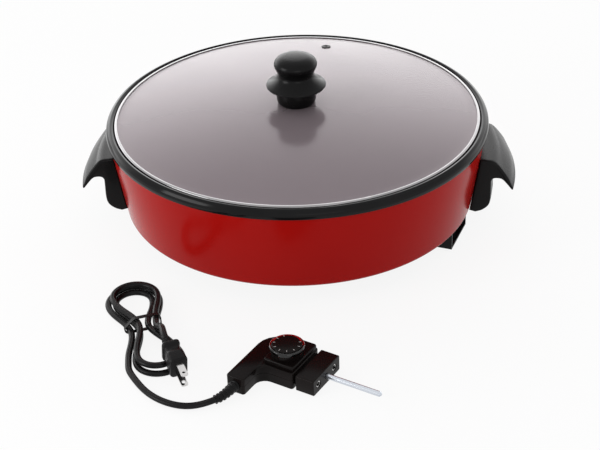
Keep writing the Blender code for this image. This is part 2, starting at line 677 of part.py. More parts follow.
def add_feet():
    """Four tapered feet, each held by a screw sunk in its underside."""
    sink = FOOT_TOP_Z * FOOT_SINK_SHARE
    well = FOOT_SCREW_HEAD + GAP
    bore = FOOT_SCREW_RADIUS + GAP
    side = [(FOOT_RADIUS * r, FOOT_TOP_Z * z) for r, z in FOOT_SHARES]
    for number, angle in enumerate(foot_places(), 1):
        x, y = ground_point(FOOT_CIRCLE, 0.0, angle)
        place = Matrix.Translation((x, y, 0))
        add_mesh(f"foot_{number}", turned(
            [(bore, sink), (well, sink), (well, 0), *side, (bore, FOOT_TOP_Z)], SMALL_SEGMENTS),
            SKILLET, BLACK_PLASTIC, place)
        add_mesh(f"foot_screw_{number}",
                 screw(FOOT_SCREW_RADIUS, FOOT_SCREW_HEAD, FOOT_SCREW_RADIUS,
                       COVER_TOP_Z - sink + FOOT_SCREW_RADIUS),
                 SKILLET, BRIGHT_STEEL, place @ Matrix.Translation((0, 0, sink - GAP)))


def heater_route():
    """Half of the element in the socket's frame: ring, bend outwards, step down, end."""
    side = PIN_SPACING / 2
    bend = HEATER_BEND
    leave = math.asin((side + bend) / HEATER_RADIUS)
    ring_steps = 16
    points = [(HEATER_RADIUS * math.cos(t), HEATER_RADIUS * math.sin(t), HEATER_Z)
              for t in (math.pi + (leave - math.pi) * i / ring_steps for i in range(ring_steps + 1))]
    corner = (points[-1][0], side + bend)
    for i in range(1, 5):
        t = math.pi / 2 * i / 4
        points.append((corner[0] + bend * (1 - math.cos(t)), corner[1] - bend * math.sin(t), HEATER_Z))
    fall = HEATER_Z - SOCKET_Z
    slope = HEATER_STEP_ANGLE
    straight = (fall - 2 * bend * (1 - math.cos(slope))) / math.sin(slope)
    x = corner[0] + bend
    for i in range(1, 4):
        t = slope * i / 3
        points.append((x + bend * math.sin(t), side, HEATER_Z - bend * (1 - math.cos(t))))
    x += bend * math.sin(slope) + straight * math.cos(slope)
    for i in range(4):
        t = slope * (1 - i / 3)
        points.append((x + bend * (math.sin(slope) - math.sin(t)), side,
                       SOCKET_Z + bend * (1 - math.cos(t))))
    points.append((GUARD_INNER - GUARD_BACK - 2 * GAP, side, SOCKET_Z))
    return points


def add_heating_element():
    half = heater_route()
    other = [(x, -y, z) for x, y, z in reversed(half[1:])]
    points = other + half
    add_tube("heating_element", points, [HEATER_DIAMETER / 2] * len(points), SOCKET, BLACK_STEEL, 1)


def add_terminals():
    """Two pins stand in the socket, each in a ceramic bead through its back wall."""
    back = GUARD_INNER - GUARD_BACK
    for number, side in enumerate((-1, 1), 1):
        axis = Matrix.Translation((0, side * PIN_SPACING / 2, SOCKET_Z)) @ ALONG
        add_mesh(f"terminal_pin_{number}",
                 rod(PIN_RADIUS, back - GAP, GUARD_INNER + PIN_REACH, SMALL_SEGMENTS, PIN_RADIUS * 0.6),
                 SOCKET, BRIGHT_STEEL, axis)
        add_mesh(f"terminal_bead_{number}",
                 ring(PIN_RADIUS + GAP, BEAD_RADIUS, back, GUARD_INNER + GAP), SOCKET, CERAMIC, axis)


def add_probe_sleeve():
    """The saddle block under the pan takes the heat control's probe."""
    outer = GUARD_INNER - GUARD_BACK - 2 * GAP
    half = SLEEVE_WIDTH / 2
    section = rounded([
        (-half, PAN_BOTTOM_Z - GAP, 0), (-half, SOCKET_Z - half, SLEEVE_ROUND),
        (half, SOCKET_Z - half, SLEEVE_ROUND), (half, PAN_BOTTOM_Z - GAP, 0)])
    block = add_mesh("probe_sleeve", prism(section, outer - SLEEVE_LENGTH, outer), SOCKET,
                     BLACK_STEEL, ALONG)
    bore = rod(PROBE_RADIUS + 2 * GAP, outer - SLEEVE_LENGTH - OVERRUN, outer + OVERRUN)
    cut(block, bore, SOCKET, BLACK_STEEL, Matrix.Translation((0, 0, SOCKET_Z)) @ ALONG)


def add_socket_guard():
    """A deep tray of black moulding keeps fingers off the pins; its ears are screwed up."""
    half = GUARD_INSIDE_HALF + GUARD_WALL
    back = GUARD_INNER - GUARD_BACK
    guard = add_mesh("socket_guard", box((back, -half, GUARD_BOTTOM_Z), (SOCKET_FACE, half, GUARD_TOP_Z)),
                     SOCKET, BLACK_PLASTIC)
    for x, y in guard_screw_places():
        inner, outer = sorted((math.copysign(half - GUARD_WALL / 2, y), math.copysign(half + GUARD_EAR, y)))
        join(guard, box((x - GUARD_EAR_DEPTH / 2, inner, GUARD_TOP_Z - GUARD_EAR_SHEET),
                        (x + GUARD_EAR_DEPTH / 2, outer, GUARD_TOP_Z)), SOCKET, BLACK_PLASTIC)
    cut(guard, box((GUARD_INNER, -GUARD_INSIDE_HALF, GUARD_FLOOR_Z),
                   (SOCKET_FACE + OVERRUN, GUARD_INSIDE_HALF, GUARD_TOP_Z + OVERRUN)),
        SOCKET, BLACK_PLASTIC)
    for side in (-1, 1):
        place = Matrix.Translation((0, side * PIN_SPACING / 2, SOCKET_Z)) @ ALONG
        cut(guard, rod(BEAD_RADIUS + GAP, back - OVERRUN, GUARD_INNER + OVERRUN), SOCKET,
            BLACK_PLASTIC, place)
    cut(guard, rod(PROBE_RADIUS + 2 * GAP, back - OVERRUN, GUARD_INNER + OVERRUN), SOCKET,
        BLACK_PLASTIC, Matrix.Translation((0, 0, SOCKET_Z)) @ ALONG)
    for number, (x, y) in enumerate(guard_screw_places(), 1):
        place = Matrix.Translation((x, y, 0))
        cut(guard, rod(GUARD_SCREW_RADIUS + GAP, GUARD_TOP_Z - GUARD_EAR_SHEET - OVERRUN,
                       GUARD_TOP_Z + OVERRUN), SOCKET, BLACK_PLASTIC, place)
        seat = GUARD_TOP_Z - GUARD_EAR_SHEET - GAP
        add_mesh(f"guard_screw_{number}",
                 screw(GUARD_SCREW_RADIUS, 2 * GUARD_SCREW_RADIUS, GUARD_SCREW_RADIUS,
                       GROUND_CLEARANCE + SHELL_SHEET + GUARD_SCREW_RADIUS - seat),
                 SOCKET, BRIGHT_STEEL, place @ Matrix.Translation((0, 0, seat)))


# Lid, in a frame whose z = 0 is the underside of its band
BAND_RADIUS = LEDGE_OUTER - LID_PLAY
BAND_HEIGHT = GLASS + 2 * LID_BAND_SHEET + 2 * GAP
BAND_INNER = BAND_RADIUS - LID_BAND_LIP
SKIRT_RADIUS = LEDGE_INNER - LID_SKIRT_PLAY
DOME_RADIUS = BAND_INNER - GLASS_BORDER
VENT_CIRCLE = DOME_RADIUS - VENT_INSET
DOME_EDGE_Z = LID_BAND_SHEET + GAP + GLASS
DOME_CURVE = (DOME_RADIUS ** 2 + GLASS_RISE ** 2) / (2 * GLASS_RISE)


def dome_z(radius):
    """Height of the glass's upper face above the lid's own z = 0."""
    return DOME_EDGE_Z + GLASS_RISE - DOME_CURVE + math.sqrt(DOME_CURVE ** 2 - radius ** 2)


def add_lid_band():
    """The band is one folded strip: a U round the glass and a skirt inside the pan."""
    sheet = LID_BAND_SHEET
    return add_mesh("lid_band", turned([
        (SKIRT_RADIUS - sheet, -LID_SKIRT_DEPTH), (SKIRT_RADIUS, -LID_SKIRT_DEPTH),
        (SKIRT_RADIUS, 0), (BAND_RADIUS, 0), (BAND_RADIUS, BAND_HEIGHT - sheet),
        (BAND_RADIUS - sheet, BAND_HEIGHT), (BAND_INNER, BAND_HEIGHT),
        (BAND_INNER, BAND_HEIGHT - sheet), (BAND_RADIUS - sheet, BAND_HEIGHT - sheet),
        (BAND_RADIUS - sheet, sheet), (SKIRT_RADIUS - sheet, sheet)]), LID, BRIGHT_STEEL)


def vent_frame():
    """A frame on the glass's middle plane at the vent, its +Z square to the glass."""
    lean = math.asin(VENT_CIRCLE / DOME_CURVE)
    return (Matrix.Rotation(VENT_ANGLE, 4, "Z")
            @ Matrix.Translation((VENT_CIRCLE, 0, dome_z(VENT_CIRCLE) - GLASS / 2))
            @ Matrix.Rotation(lean, 4, "Y"))


def add_lid_glass():
    bore = KNOB_SCREW_RADIUS + GAP
    flat = 1.5 * VENT_FLANGE
    stations = (bore, KNOB_BASE_RADIUS, VENT_CIRCLE / 2, VENT_CIRCLE - flat, VENT_CIRCLE + flat,
                DOME_RADIUS)
    top = [(r, dome_z(r)) for r in stations]
    edge = BAND_RADIUS - LID_BAND_SHEET - GAP
    rim = [(edge, DOME_EDGE_Z), (edge, DOME_EDGE_Z - GLASS)]
    under = [(r, z - GLASS) for r, z in reversed(top)]
    glass = add_mesh("lid_glass", turned(top + rim + under), LID, GLASS_TINT)
    cut(glass, rod(VENT_RADIUS + GAP, -GLASS, GLASS), LID, GLASS_TINT, vent_frame())


def add_vent_grommet():
    half = GLASS / 2 + GAP
    bore = VENT_RADIUS - VENT_SHEET
    add_mesh("vent_grommet", turned([
        (bore, -half - VENT_SHEET), (VENT_FLANGE * 0.9, -half - VENT_SHEET),
        (VENT_FLANGE * 0.9, -half), (VENT_RADIUS, -half), (VENT_RADIUS, half),
        (VENT_FLANGE, half), (VENT_FLANGE * 0.9, half + VENT_SHEET / 2),
        (VENT_RADIUS, half + VENT_SHEET), (bore, half + VENT_SHEET)], SMALL_SEGMENTS),
        LID, BRIGHT_STEEL, vent_frame())


def add_knob():
    """A stand-off base and a mushroom grip, on one screw up through the glass."""
    bore = KNOB_SCREW_RADIUS + GAP
    base_z = dome_z(bore) + GAP
    grip_z = base_z + KNOB_BASE_HEIGHT + GAP
    thread_z = grip_z + KNOB_GRIP_HEIGHT / 2
    base = [(KNOB_BASE_RADIUS * r, base_z + KNOB_BASE_HEIGHT * z) for r, z in KNOB_BASE_SHARES]
    add_mesh("knob_base", turned([
        (bore, base_z), *base, (bore, base_z + KNOB_BASE_HEIGHT)], MEDIUM_SEGMENTS), LID, BLACK_PLASTIC)
    skirt = [(KNOB_SKIRT_RADIUS * r, grip_z + KNOB_GRIP_HEIGHT * z) for r, z in KNOB_SKIRT_SHARES]
    cap = [(KNOB_CAP_RADIUS * r, grip_z + KNOB_GRIP_HEIGHT * z) for r, z in KNOB_CAP_SHARES]
    add_mesh("knob_grip", turned([
        (0, thread_z), (bore, thread_z), (bore, grip_z), *skirt, *cap,
        (0, grip_z + KNOB_GRIP_HEIGHT)], MEDIUM_SEGMENTS), LID, BLACK_PLASTIC)
    washer_z = dome_z(bore) - GLASS - GAP
    add_mesh("knob_washer", ring(
        bore, KNOB_BASE_RADIUS / 2, washer_z - KNOB_SCREW_RADIUS / 2, washer_z), LID, BLACK_VINYL)
    seat = washer_z - KNOB_SCREW_RADIUS / 2 - GAP
    add_mesh("knob_screw", screw(
        KNOB_SCREW_RADIUS, 2 * KNOB_SCREW_RADIUS, KNOB_SCREW_RADIUS, thread_z - 2 * GAP - seat),
        LID, BRIGHT_STEEL, Matrix.Translation((0, 0, seat)))


def case_outline(inset):
    """The heat control's plan: a body with a grip that turns off it at a rounded elbow."""
    back, inner = -GRIP_BACK + inset, -GRIP_BACK + GRIP_WIDTH - inset
    end, near = -GRIP_END + inset, -CASE_NEAR + inset
    front, far = CASE_FRONT - inset, CASE_FAR - inset
    corner = CASE_ROUND - inset
    return rounded([
        (back, end, corner), (inner, end, corner), (inner, near, CASE_ELBOW + inset),
        (front, near, corner), (front, far, corner), (back, far, CASE_SHOULDER - inset)])


def neck_opening():
    """The opening in the case's front wall that the connector's neck passes through."""
    half, rise = NECK_WIDTH / 2 + GAP, NECK_HEIGHT / 2 + GAP
    return box((CASE_FRONT - CASE_WALL - OVERRUN, BLOCK_OFFSET - half, BLOCK_Z - rise),
               (CASE_FRONT + OVERRUN, BLOCK_OFFSET + half, BLOCK_Z + rise))


def relief_opening():
    """The opening in the grip's end wall for the strain relief."""
    return rod(RELIEF_ROOT_RADIUS + GAP, -CASE_WALL - OVERRUN, OVERRUN)


RELIEF_FRAME = (Matrix.Translation((-GRIP_BACK + GRIP_WIDTH / 2, -GRIP_END, BLOCK_Z))
                @ Matrix.Rotation(math.pi / 2, 4, "X"))
CASE_SCREW_PLACES = (
    (-GRIP_BACK + GRIP_WIDTH / 2, -GRIP_END / 2),
    (-GRIP_BACK / 2, CASE_FAR / 2),
    (CASE_FRONT / 4, CASE_FAR - CASE_WALL - 3 * CASE_SCREW_RADIUS),
)
CASE_SCREW_SEAT = CASE_WALL * 0.7


def add_case_lower():
    case = add_mesh("case_lower", prism(case_outline(0), 0, CASE_SPLIT_Z), CONTROL, BLACK_PLASTIC)
    soften(case, CASE_EDGE, 1)
    cut(case, prism(case_outline(CASE_WALL), CASE_WALL, CASE_SPLIT_Z + OVERRUN), CONTROL,
        BLACK_PLASTIC)
    cut(case, neck_opening(), CONTROL, BLACK_PLASTIC)
    cut(case, relief_opening(), CONTROL, BLACK_PLASTIC, RELIEF_FRAME)
    for x, y in CASE_SCREW_PLACES:
        place = Matrix.Translation((x, y, 0))
        head = 2 * CASE_SCREW_RADIUS + GAP
        cut(case, turned([
            (0, -OVERRUN), (head, -OVERRUN), (head, CASE_SCREW_SEAT),
            (CASE_SCREW_RADIUS + GAP, CASE_SCREW_SEAT),
            (CASE_SCREW_RADIUS + GAP, CASE_WALL + OVERRUN), (0, CASE_WALL + OVERRUN)],
            SMALL_SEGMENTS), CONTROL, BLACK_PLASTIC, place)


def platform_outline(inset):
    """The raised part of the case under the dial."""
    edge = CASE_EDGE + inset
    back, near = -PLATFORM_BACK + inset, -CASE_NEAR + CASE_LEDGE + inset
    front, far = CASE_FRONT - edge, CASE_FAR - edge
    corner = CASE_ROUND - inset
    return rounded([
        (back, near, corner), (front, near, corner), (front, far, corner), (back, far, corner)], 3)


def add_case_upper():
    """The upper half: a deck over the grip, a raised platform and the dial's turret."""
    case = add_mesh("case_upper", prism(case_outline(0), CASE_SPLIT_Z + GAP, CASE_DECK_Z),
                    CONTROL, BLACK_PLASTIC)
    soften(case, CASE_EDGE, 1)
    join(case, prism(platform_outline(0), CASE_DECK_Z - CASE_WALL, CASE_TOP_Z), CONTROL, BLACK_PLASTIC)
    join(case, rod(TURRET_RADIUS, CASE_DECK_Z - CASE_WALL, TURRET_TOP_Z, MEDIUM_SEGMENTS), CONTROL,
         BLACK_PLASTIC)
    cut(case, prism(case_outline(CASE_WALL), CASE_SPLIT_Z - OVERRUN, CASE_DECK_Z - CASE_WALL),
        CONTROL, BLACK_PLASTIC)
    cut(case, prism(platform_outline(CASE_WALL), CASE_SPLIT_Z, CASE_TOP_Z - CASE_WALL), CONTROL,
        BLACK_PLASTIC)
    cut(case, rod(TURRET_RADIUS - CASE_WALL, CASE_SPLIT_Z, TURRET_TOP_Z - CASE_WALL, MEDIUM_SEGMENTS),
        CONTROL, BLACK_PLASTIC)
    cut(case, rod(DIAL_SHAFT_RADIUS + GAP, CASE_SPLIT_Z, TURRET_TOP_Z + OVERRUN), CONTROL,
        BLACK_PLASTIC)
    lamp = Matrix.Translation((0, LAMP_CIRCLE, 0))
    cut(case, rod(LAMP_RADIUS + GAP, CASE_SPLIT_Z, TURRET_TOP_Z + OVERRUN), CONTROL,
        BLACK_PLASTIC, lamp)
    for x, y in CASE_SCREW_PLACES:
        place = Matrix.Translation((x, y, 0))
        roof = CASE_TOP_Z if x > -PLATFORM_BACK else CASE_DECK_Z
        join(case, rod(2 * CASE_SCREW_RADIUS, CASE_WALL + GAP, roof - CASE_WALL / 2), CONTROL,
             BLACK_PLASTIC, place)
        cut(case, rod(CASE_SCREW_RADIUS + GAP, 0, CASE_DECK_Z - 2 * CASE_WALL), CONTROL,
            BLACK_PLASTIC, place)
    cut(case, neck_opening(), CONTROL, BLACK_PLASTIC)
    cut(case, relief_opening(), CONTROL, BLACK_PLASTIC, RELIEF_FRAME)


def add_case_screws():
    for number, (x, y) in enumerate(CASE_SCREW_PLACES, 1):
        seat = CASE_SCREW_SEAT - GAP
        add_mesh(f"case_screw_{number}", screw(
            CASE_SCREW_RADIUS, 2 * CASE_SCREW_RADIUS, CASE_SCREW_SEAT - 2 * GAP,
            CASE_DECK_Z - 2 * CASE_WALL - GAP - seat),
            CONTROL, BRIGHT_STEEL, Matrix.Translation((x, y, seat)))


BLOCK_BACK = CASE_FRONT + BLOCK_GROOVE
BLOCK_FRONT = BLOCK_BACK + BLOCK_DEPTH


def add_connector():
    """The block that plugs into the socket: two contact bores beside the probe."""
    low, high = BLOCK_OFFSET - BLOCK_WIDTH / 2, BLOCK_OFFSET + BLOCK_WIDTH / 2
    section = rounded([(low, GAP, BLOCK_ROUND), (high, GAP, BLOCK_ROUND),
                       (high, GAP + BLOCK_HEIGHT, BLOCK_ROUND),
                       (low, GAP + BLOCK_HEIGHT, BLOCK_ROUND)], 3)
    block = add_mesh("connector_block", prism(section, BLOCK_BACK, BLOCK_FRONT), CONTROL,
                     BLACK_PLASTIC, ALONG)
    half, rise = NECK_WIDTH / 2, NECK_HEIGHT / 2
    inside = CASE_FRONT - CASE_WALL
    join(block, box((inside - NECK_TAIL, BLOCK_OFFSET - half, BLOCK_Z - rise),
                    (BLOCK_BACK + OVERRUN, BLOCK_OFFSET + half, BLOCK_Z + rise)), CONTROL,
         BLACK_PLASTIC)
    join(block, box((inside - GAP - NECK_FLANGE, BLOCK_OFFSET - half - NECK_LIP, BLOCK_Z - rise),
                    (inside - GAP, BLOCK_OFFSET + half + NECK_LIP, BLOCK_Z + rise)), CONTROL,
         BLACK_PLASTIC)
    sleeve_inner = PIN_RADIUS + GAP
    sleeve_outer = sleeve_inner + SLEEVE_WALL
    for number, side in enumerate((-1, 1), 1):
        place = Matrix.Translation((0, BLOCK_OFFSET + side * PIN_SPACING / 2, BLOCK_Z)) @ ALONG
        cut(block, rod(sleeve_outer + GAP, BLOCK_FRONT - PIN_REACH - GAP, BLOCK_FRONT + OVERRUN),
            CONTROL, BLACK_PLASTIC, place)
        add_mesh(f"contact_sleeve_{number}", ring(
            sleeve_inner, sleeve_outer, BLOCK_FRONT - PIN_REACH, BLOCK_FRONT - SLEEVE_WALL),
            CONTROL, BRIGHT_STEEL, place)
    place = Matrix.Translation((0, BLOCK_OFFSET, BLOCK_Z)) @ ALONG
    cut(block, rod(PROBE_RADIUS + GAP, inside - NECK_TAIL - OVERRUN, BLOCK_FRONT + OVERRUN),
        CONTROL, BLACK_PLASTIC, place)
    add_mesh("probe_rod", rod(PROBE_RADIUS, inside - 2 * NECK_TAIL, BLOCK_FRONT + PROBE_LENGTH,
                              SMALL_SEGMENTS, PROBE_TIP), CONTROL, BRIGHT_STEEL, place)


def add_thermostat():
    """A folded bracket in the case carries the switch that the probe and the dial work."""
    half, sheet = THERMOSTAT_WIDTH / 2, THERMOSTAT_SHEET
    low, high = CASE_WALL + GAP, DIAL_SHAFT_BOTTOM_Z - GAP
    section = [(BLOCK_OFFSET - half, low), (BLOCK_OFFSET + half, low), (BLOCK_OFFSET + half, high),
               (BLOCK_OFFSET + half - sheet, high), (BLOCK_OFFSET + half - sheet, low + sheet),
               (BLOCK_OFFSET - half + sheet, low + sheet), (BLOCK_OFFSET - half + sheet, high),
               (BLOCK_OFFSET - half, high)]
    front = CASE_FRONT - CASE_WALL - NECK_TAIL - GAP
    add_mesh("thermostat_frame", prism(section, front - THERMOSTAT_LENGTH, front), CONTROL,
             BRIGHT_STEEL, ALONG)


def add_pilot_lamp():
    add_mesh("pilot_lamp", rod(LAMP_RADIUS, CASE_DECK_Z, TURRET_TOP_Z, SMALL_SEGMENTS, LAMP_RADIUS / 3),
             CONTROL, RED_LENS, Matrix.Translation((0, LAMP_CIRCLE, 0)))


def add_strain_relief():
    """A ribbed, tapered sleeve that bends with the lead as it leaves the grip."""
    radii = [RELIEF_ROOT_RADIUS]
    last = len(RELIEF_POINTS) - 2
    for i in range(last + 1):
        taper = RELIEF_ROOT_RADIUS + (RELIEF_TIP_RADIUS - RELIEF_ROOT_RADIUS) * i / last
        radii.append(taper - RELIEF_GROOVE * (i % 2))
    add_tube("strain_relief", RELIEF_POINTS, radii, CONTROL, BLACK_VINYL)


# The dial turns in the turret, in a frame whose z = 0 is the underside of its skirt
DIAL_WEB = DIAL_SKIRT_HEIGHT * 0.3
DIAL_TOP = DIAL_SKIRT_HEIGHT + DIAL_FACE_RISE
DIAL_SHAFT_BOTTOM_Z = CASE_DECK_Z - 2 * CASE_WALL


def add_dial():
    """A clear red skirt ring lit from below, a black face on it and the shaft."""
    bore = DIAL_SHAFT_RADIUS + GAP
    seat = DIAL_FACE_RADIUS + GAP
    add_mesh("dial_skirt", turned([
        (bore, 0), (DIAL_SKIRT_RADIUS, 0), (DIAL_SKIRT_RADIUS, DIAL_SKIRT_HEIGHT * 0.8),
        (DIAL_SKIRT_RADIUS - DIAL_FACE_RISE, DIAL_SKIRT_HEIGHT), (seat, DIAL_SKIRT_HEIGHT),
        (seat, DIAL_WEB), (bore, DIAL_WEB)], MEDIUM_SEGMENTS), DIAL, RED_LENS)
    socket = DIAL_SKIRT_HEIGHT * 0.8
    add_mesh("dial_face", turned([
        (bore, DIAL_WEB + GAP), (DIAL_FACE_RADIUS, DIAL_WEB + GAP),
        (DIAL_FACE_RADIUS, DIAL_TOP - DIAL_FACE_RISE / 2),
        (DIAL_FACE_RADIUS - DIAL_FACE_RISE / 2, DIAL_TOP),
        (0, DIAL_TOP), (0, socket), (bore, socket)], MEDIUM_SEGMENTS), DIAL, BLACK_PLASTIC)
    add_mesh("dial_shaft", rod(DIAL_SHAFT_RADIUS, DIAL_SHAFT_BOTTOM_Z - TURRET_TOP_Z - GAP,
                               socket - GAP), DIAL, BRIGHT_STEEL)


# Hank: runs between two folds, in a frame whose +X points from the waist to the upper fold
HANK_REVERSAL = HANK_CLIMB_RUN / 2
HANK_LIFT = TIE_SHEET + 2 * GAP


def hank_point(along, side, loops, layer):
    """A point on a run: `loops` wound so far set how far out it lies, `layer` how high."""
    share = min(abs(along) / (HANK_RUN / 2), 1.0)
    spread = share * share * (3 - 2 * share)
    out = abs(loops - HANK_REVERSAL)
    waist = HANK_WAIST + HANK_WAIST_STEP * out
    fold = HANK_FOLD + HANK_STEP * out
    z = CORD_DIAMETER / 2 + HANK_LAYER * layer + HANK_LIFT * (1 - spread)
    return along, side * (waist + (fold - waist) * spread), z


def hank_loops(run, share):
    """Loops wound `share` of the way along a run; the fold after it goes on to a share of 2."""
    return run / 2 + (share - 0.5) / 4


def hank_run_point(run, share):
    """A point of a run, `share` of the way along it; the runs go up and down in turn."""
    up = 1 if run % 2 == 0 else -1
    layer = 0.0 if run < HANK_CLIMB_RUN else 1.0
    if run == HANK_CLIMB_RUN:
        layer = share * share * (3 - 2 * share)
    return hank_point(up * HANK_RUN * (share - 0.5), up, hank_loops(run, share), layer)


def hank_route():
    """Whole runs with a fold after each, then the last run, which ends at the waist."""
    points = []
    for run in range(HANK_RUNS - 1):
        points += [hank_run_point(run, i / HANK_POINTS) for i in range(HANK_POINTS)]
        up = 1 if run % 2 == 0 else -1
        for i in range(HANK_POINTS):
            turn = math.pi * i / HANK_POINTS
            out = abs(hank_loops(run, 1 + i / HANK_POINTS) - HANK_REVERSAL)
            radius = HANK_FOLD + HANK_STEP * out
            layer = 0 if run < HANK_CLIMB_RUN else 1
            points.append((up * (HANK_RUN / 2 + radius * math.sin(turn)),
                           up * radius * math.cos(turn), CORD_DIAMETER / 2 + HANK_LAYER * layer))
    points += [hank_run_point(HANK_RUNS - 1, i / HANK_POINTS) for i in range(HANK_POINTS // 2 + 1)]
    return points


def least_gap(points, radius):
    """The least gap of a tube to itself, between stretches of it that aren't neighbours."""
    fine = []
    for start, end in zip(points, points[1:]):
        fine += [Vector(start).lerp(Vector(end), i / 4) for i in range(4)]
    skip = math.ceil(8 * radius / (fine[1] - fine[0]).length) + 4
    least = min((fine[i] - fine[j]).length for i in range(len(fine))
                for j in range(i + skip, len(fine)))
    return least - 2 * radius


def hank_to_front(point):
    x, y = ground_point(point[0], point[1], HANK_ANGLE, HANK_X, -HANK_AHEAD)
    return Vector((x, y, point[2]))


def route_length(points):
    return sum((Vector(b) - Vector(a)).length for a, b in zip(points, points[1:]))


def add_cord_hank():
    points = hank_route()
    print(f"cord_hank: {len(points)} points, {route_length(points):.4f} m, "
          f"least gap {least_gap(points, CORD_DIAMETER / 2):.5f} m")
    add_tube("cord_hank", points, [CORD_DIAMETER / 2] * len(points), HANK, BLACK_VINYL, 1)
    return points


def band_outline(centres, radius, steps=4):
    """The outline of a band drawn tight round circles, whose centres go round to the left."""
    outline = []
    for i, (x, y) in enumerate(centres):
        before, after = centres[i - 1], centres[(i + 1) % len(centres)]
        first = math.atan2(y - before[1], x - before[0]) - math.pi / 2
        last = math.atan2(after[1] - y, after[0] - x) - math.pi / 2
        sweep = (last - first) % math.tau
        outline += arc((x, y), radius, first, first + sweep, steps)
    return outline


def add_cord_tie():
    """A flat tie drawn round the waist of the hank."""
    far = TIE_ABOVE_WAIST + TIE_WIDTH / 2
    centres = []
    for run, up in ((1, -1), (0, 1), (4, 1), (5, -1)):
        waist = Vector(hank_run_point(run, 0.5))
        above = Vector(hank_run_point(run, 0.5 + up / HANK_POINTS))
        place = waist.lerp(above, far / above.x)
        centres.append((place.y, place.z))
    radius = CORD_DIAMETER / 2 + 1.5 * GAP
    tie = add_mesh("cord_tie", prism(
        band_outline(centres, radius + TIE_SHEET), far - TIE_WIDTH, far), HANK, BLACK_VINYL, ALONG)
    cut(tie, prism(band_outline(centres, radius), far - TIE_WIDTH - OVERRUN, far + OVERRUN), HANK,
        BLACK_VINYL, ALONG)


def plug_frame():
    """The plug's frame on its face: +Z out of the face, +Y from blade to blade."""
    axis = Vector(PLUG_DIRECTION).normalized()
    upright = (Vector((0, 0, 1)) - axis * axis.z).normalized()
    across = upright.cross(axis)
    turn = Matrix((across, upright, axis)).transposed().to_4x4()
    return Matrix.Translation(PLUG_FACE) @ turn


def add_plug():
    """A moulded plug with a drawn-in grip, a flange by its neck and two flat blades."""
    frame = plug_frame()
    sections = []
    for back, width, thickness in PLUG_SECTION_SHARES:
        x, y = PLUG_THICKNESS / 2 * thickness, PLUG_WIDTH / 2 * width
        corner = PLUG_ROUND * thickness
        outline = rounded([(-x, -y, corner), (x, -y, corner), (x, y, corner), (-x, y, corner)], 3)
        sections.append([(px, py, -PLUG_LENGTH * back) for px, py in outline])
    body = add_mesh("plug_body", loft(sections), FRONT, BLACK_VINYL, frame)
    tip = -PLUG_LENGTH - PLUG_NECK_LENGTH
    join(body, turned([(0, tip), (PLUG_NECK_RADIUS, tip),
                       (PLUG_NECK_RADIUS * 1.25, -PLUG_LENGTH + OVERRUN), (0, -PLUG_LENGTH + OVERRUN)],
                      SMALL_SEGMENTS), FRONT, BLACK_VINYL, frame)
    half, sheet = BLADE_WIDTH / 2, BLADE_SHEET / 2
    for number, side in enumerate((-1, 1), 1):
        place = frame @ Matrix.Translation((0, side * BLADE_SPACING / 2, 0))
        cut(body, box((-half - GAP, -sheet - GAP, -BLADE_ROOT - GAP),
                      (half + GAP, sheet + GAP, OVERRUN)), FRONT, BLACK_VINYL, place)
        outline = rounded([(-half, -BLADE_ROOT, 0), (half, -BLADE_ROOT, 0),
                           (half, BLADE_LENGTH, half / 2), (-half, BLADE_LENGTH, half / 2)], 2)
        upright = place @ Matrix.Rotation(math.pi / 2, 4, "X")
        blade = add_mesh(f"plug_blade_{number}", prism(outline, -sheet, sheet), FRONT,
                         BRIGHT_STEEL, upright)
        cut(blade, rod(BLADE_HOLE, -BLADE_SHEET, BLADE_SHEET), FRONT, BRIGHT_STEEL,
            upright @ Matrix.Translation((0, BLADE_LENGTH - BLADE_WIDTH * 0.7, 0)))
    return frame


def add_cord_runs(hank):
    """The free lead from the strain relief to the hank, and from the hank to the plug."""
    before, tip = (Vector((*ground_point(x, y, CONTROL_ANGLE, CONTROL_X, -CONTROL_AHEAD), z))
                   for x, y, z in RELIEF_POINTS[-2:])
    leave = (tip - before).normalized()
    start, second = hank_to_front(hank[0]), hank_to_front(hank[1])
    enter = (second - start).normalized()
    enter.z = 0
    lead = [tip + leave * GAP, tip + leave * CORD_DIAMETER, *LEAD_ROUTE,
            start - enter * CORD_DIAMETER, start - enter * GAP]
    end, last = hank_to_front(hank[-1]), hank_to_front(hank[-2])
    out = (end - last).normalized()
    out.z = 0
    frame = plug_frame()
    axis = frame.to_3x3() @ Vector((0, 0, 1))
    neck = frame @ Vector((0, 0, -PLUG_LENGTH - PLUG_NECK_LENGTH - GAP))
    tail = [end + out * GAP, end + out * CORD_DIAMETER, *TAIL_ROUTE,
            neck - axis * CORD_DIAMETER, neck]
    for name, route in (("cord_lead", lead), ("cord_tail", tail)):
        points = smooth_route(route, 1.5 * CORD_DIAMETER)
        add_tube(name, points, [CORD_DIAMETER / 2] * len(points), FRONT, BLACK_VINYL)
        print(f"{name}: {len(points)} points, {route_length(points):.4f} m")


add_cooking_pan()
add_outer_shell()
add_handles()
add_bottom_cover()
add_centre_stud()
add_feet()
add_heating_element()
add_terminals()
add_probe_sleeve()
add_socket_guard()
add_lid_band()
add_lid_glass()
add_vent_grommet()
add_knob()
add_case_lower()
add_case_upper()
add_case_screws()
add_connector()
add_thermostat()
add_pilot_lamp()
add_strain_relief()
add_dial()
add_plug()
add_cord_runs(add_cord_hank())
add_cord_tie()
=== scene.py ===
# %% [markdown]
# # A round electric skillet with its heat control beside it
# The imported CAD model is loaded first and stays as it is. Each visible piece is then modelled again
# around it with finer faces, or keeps its CAD mesh and gets a finish of its own.
# Lengths are in metres, and a piece is made where it lies, so that every object stays at the origin.

# %% Load the frame
import math

import bmesh
import bpy
from mathutils import Matrix, Vector


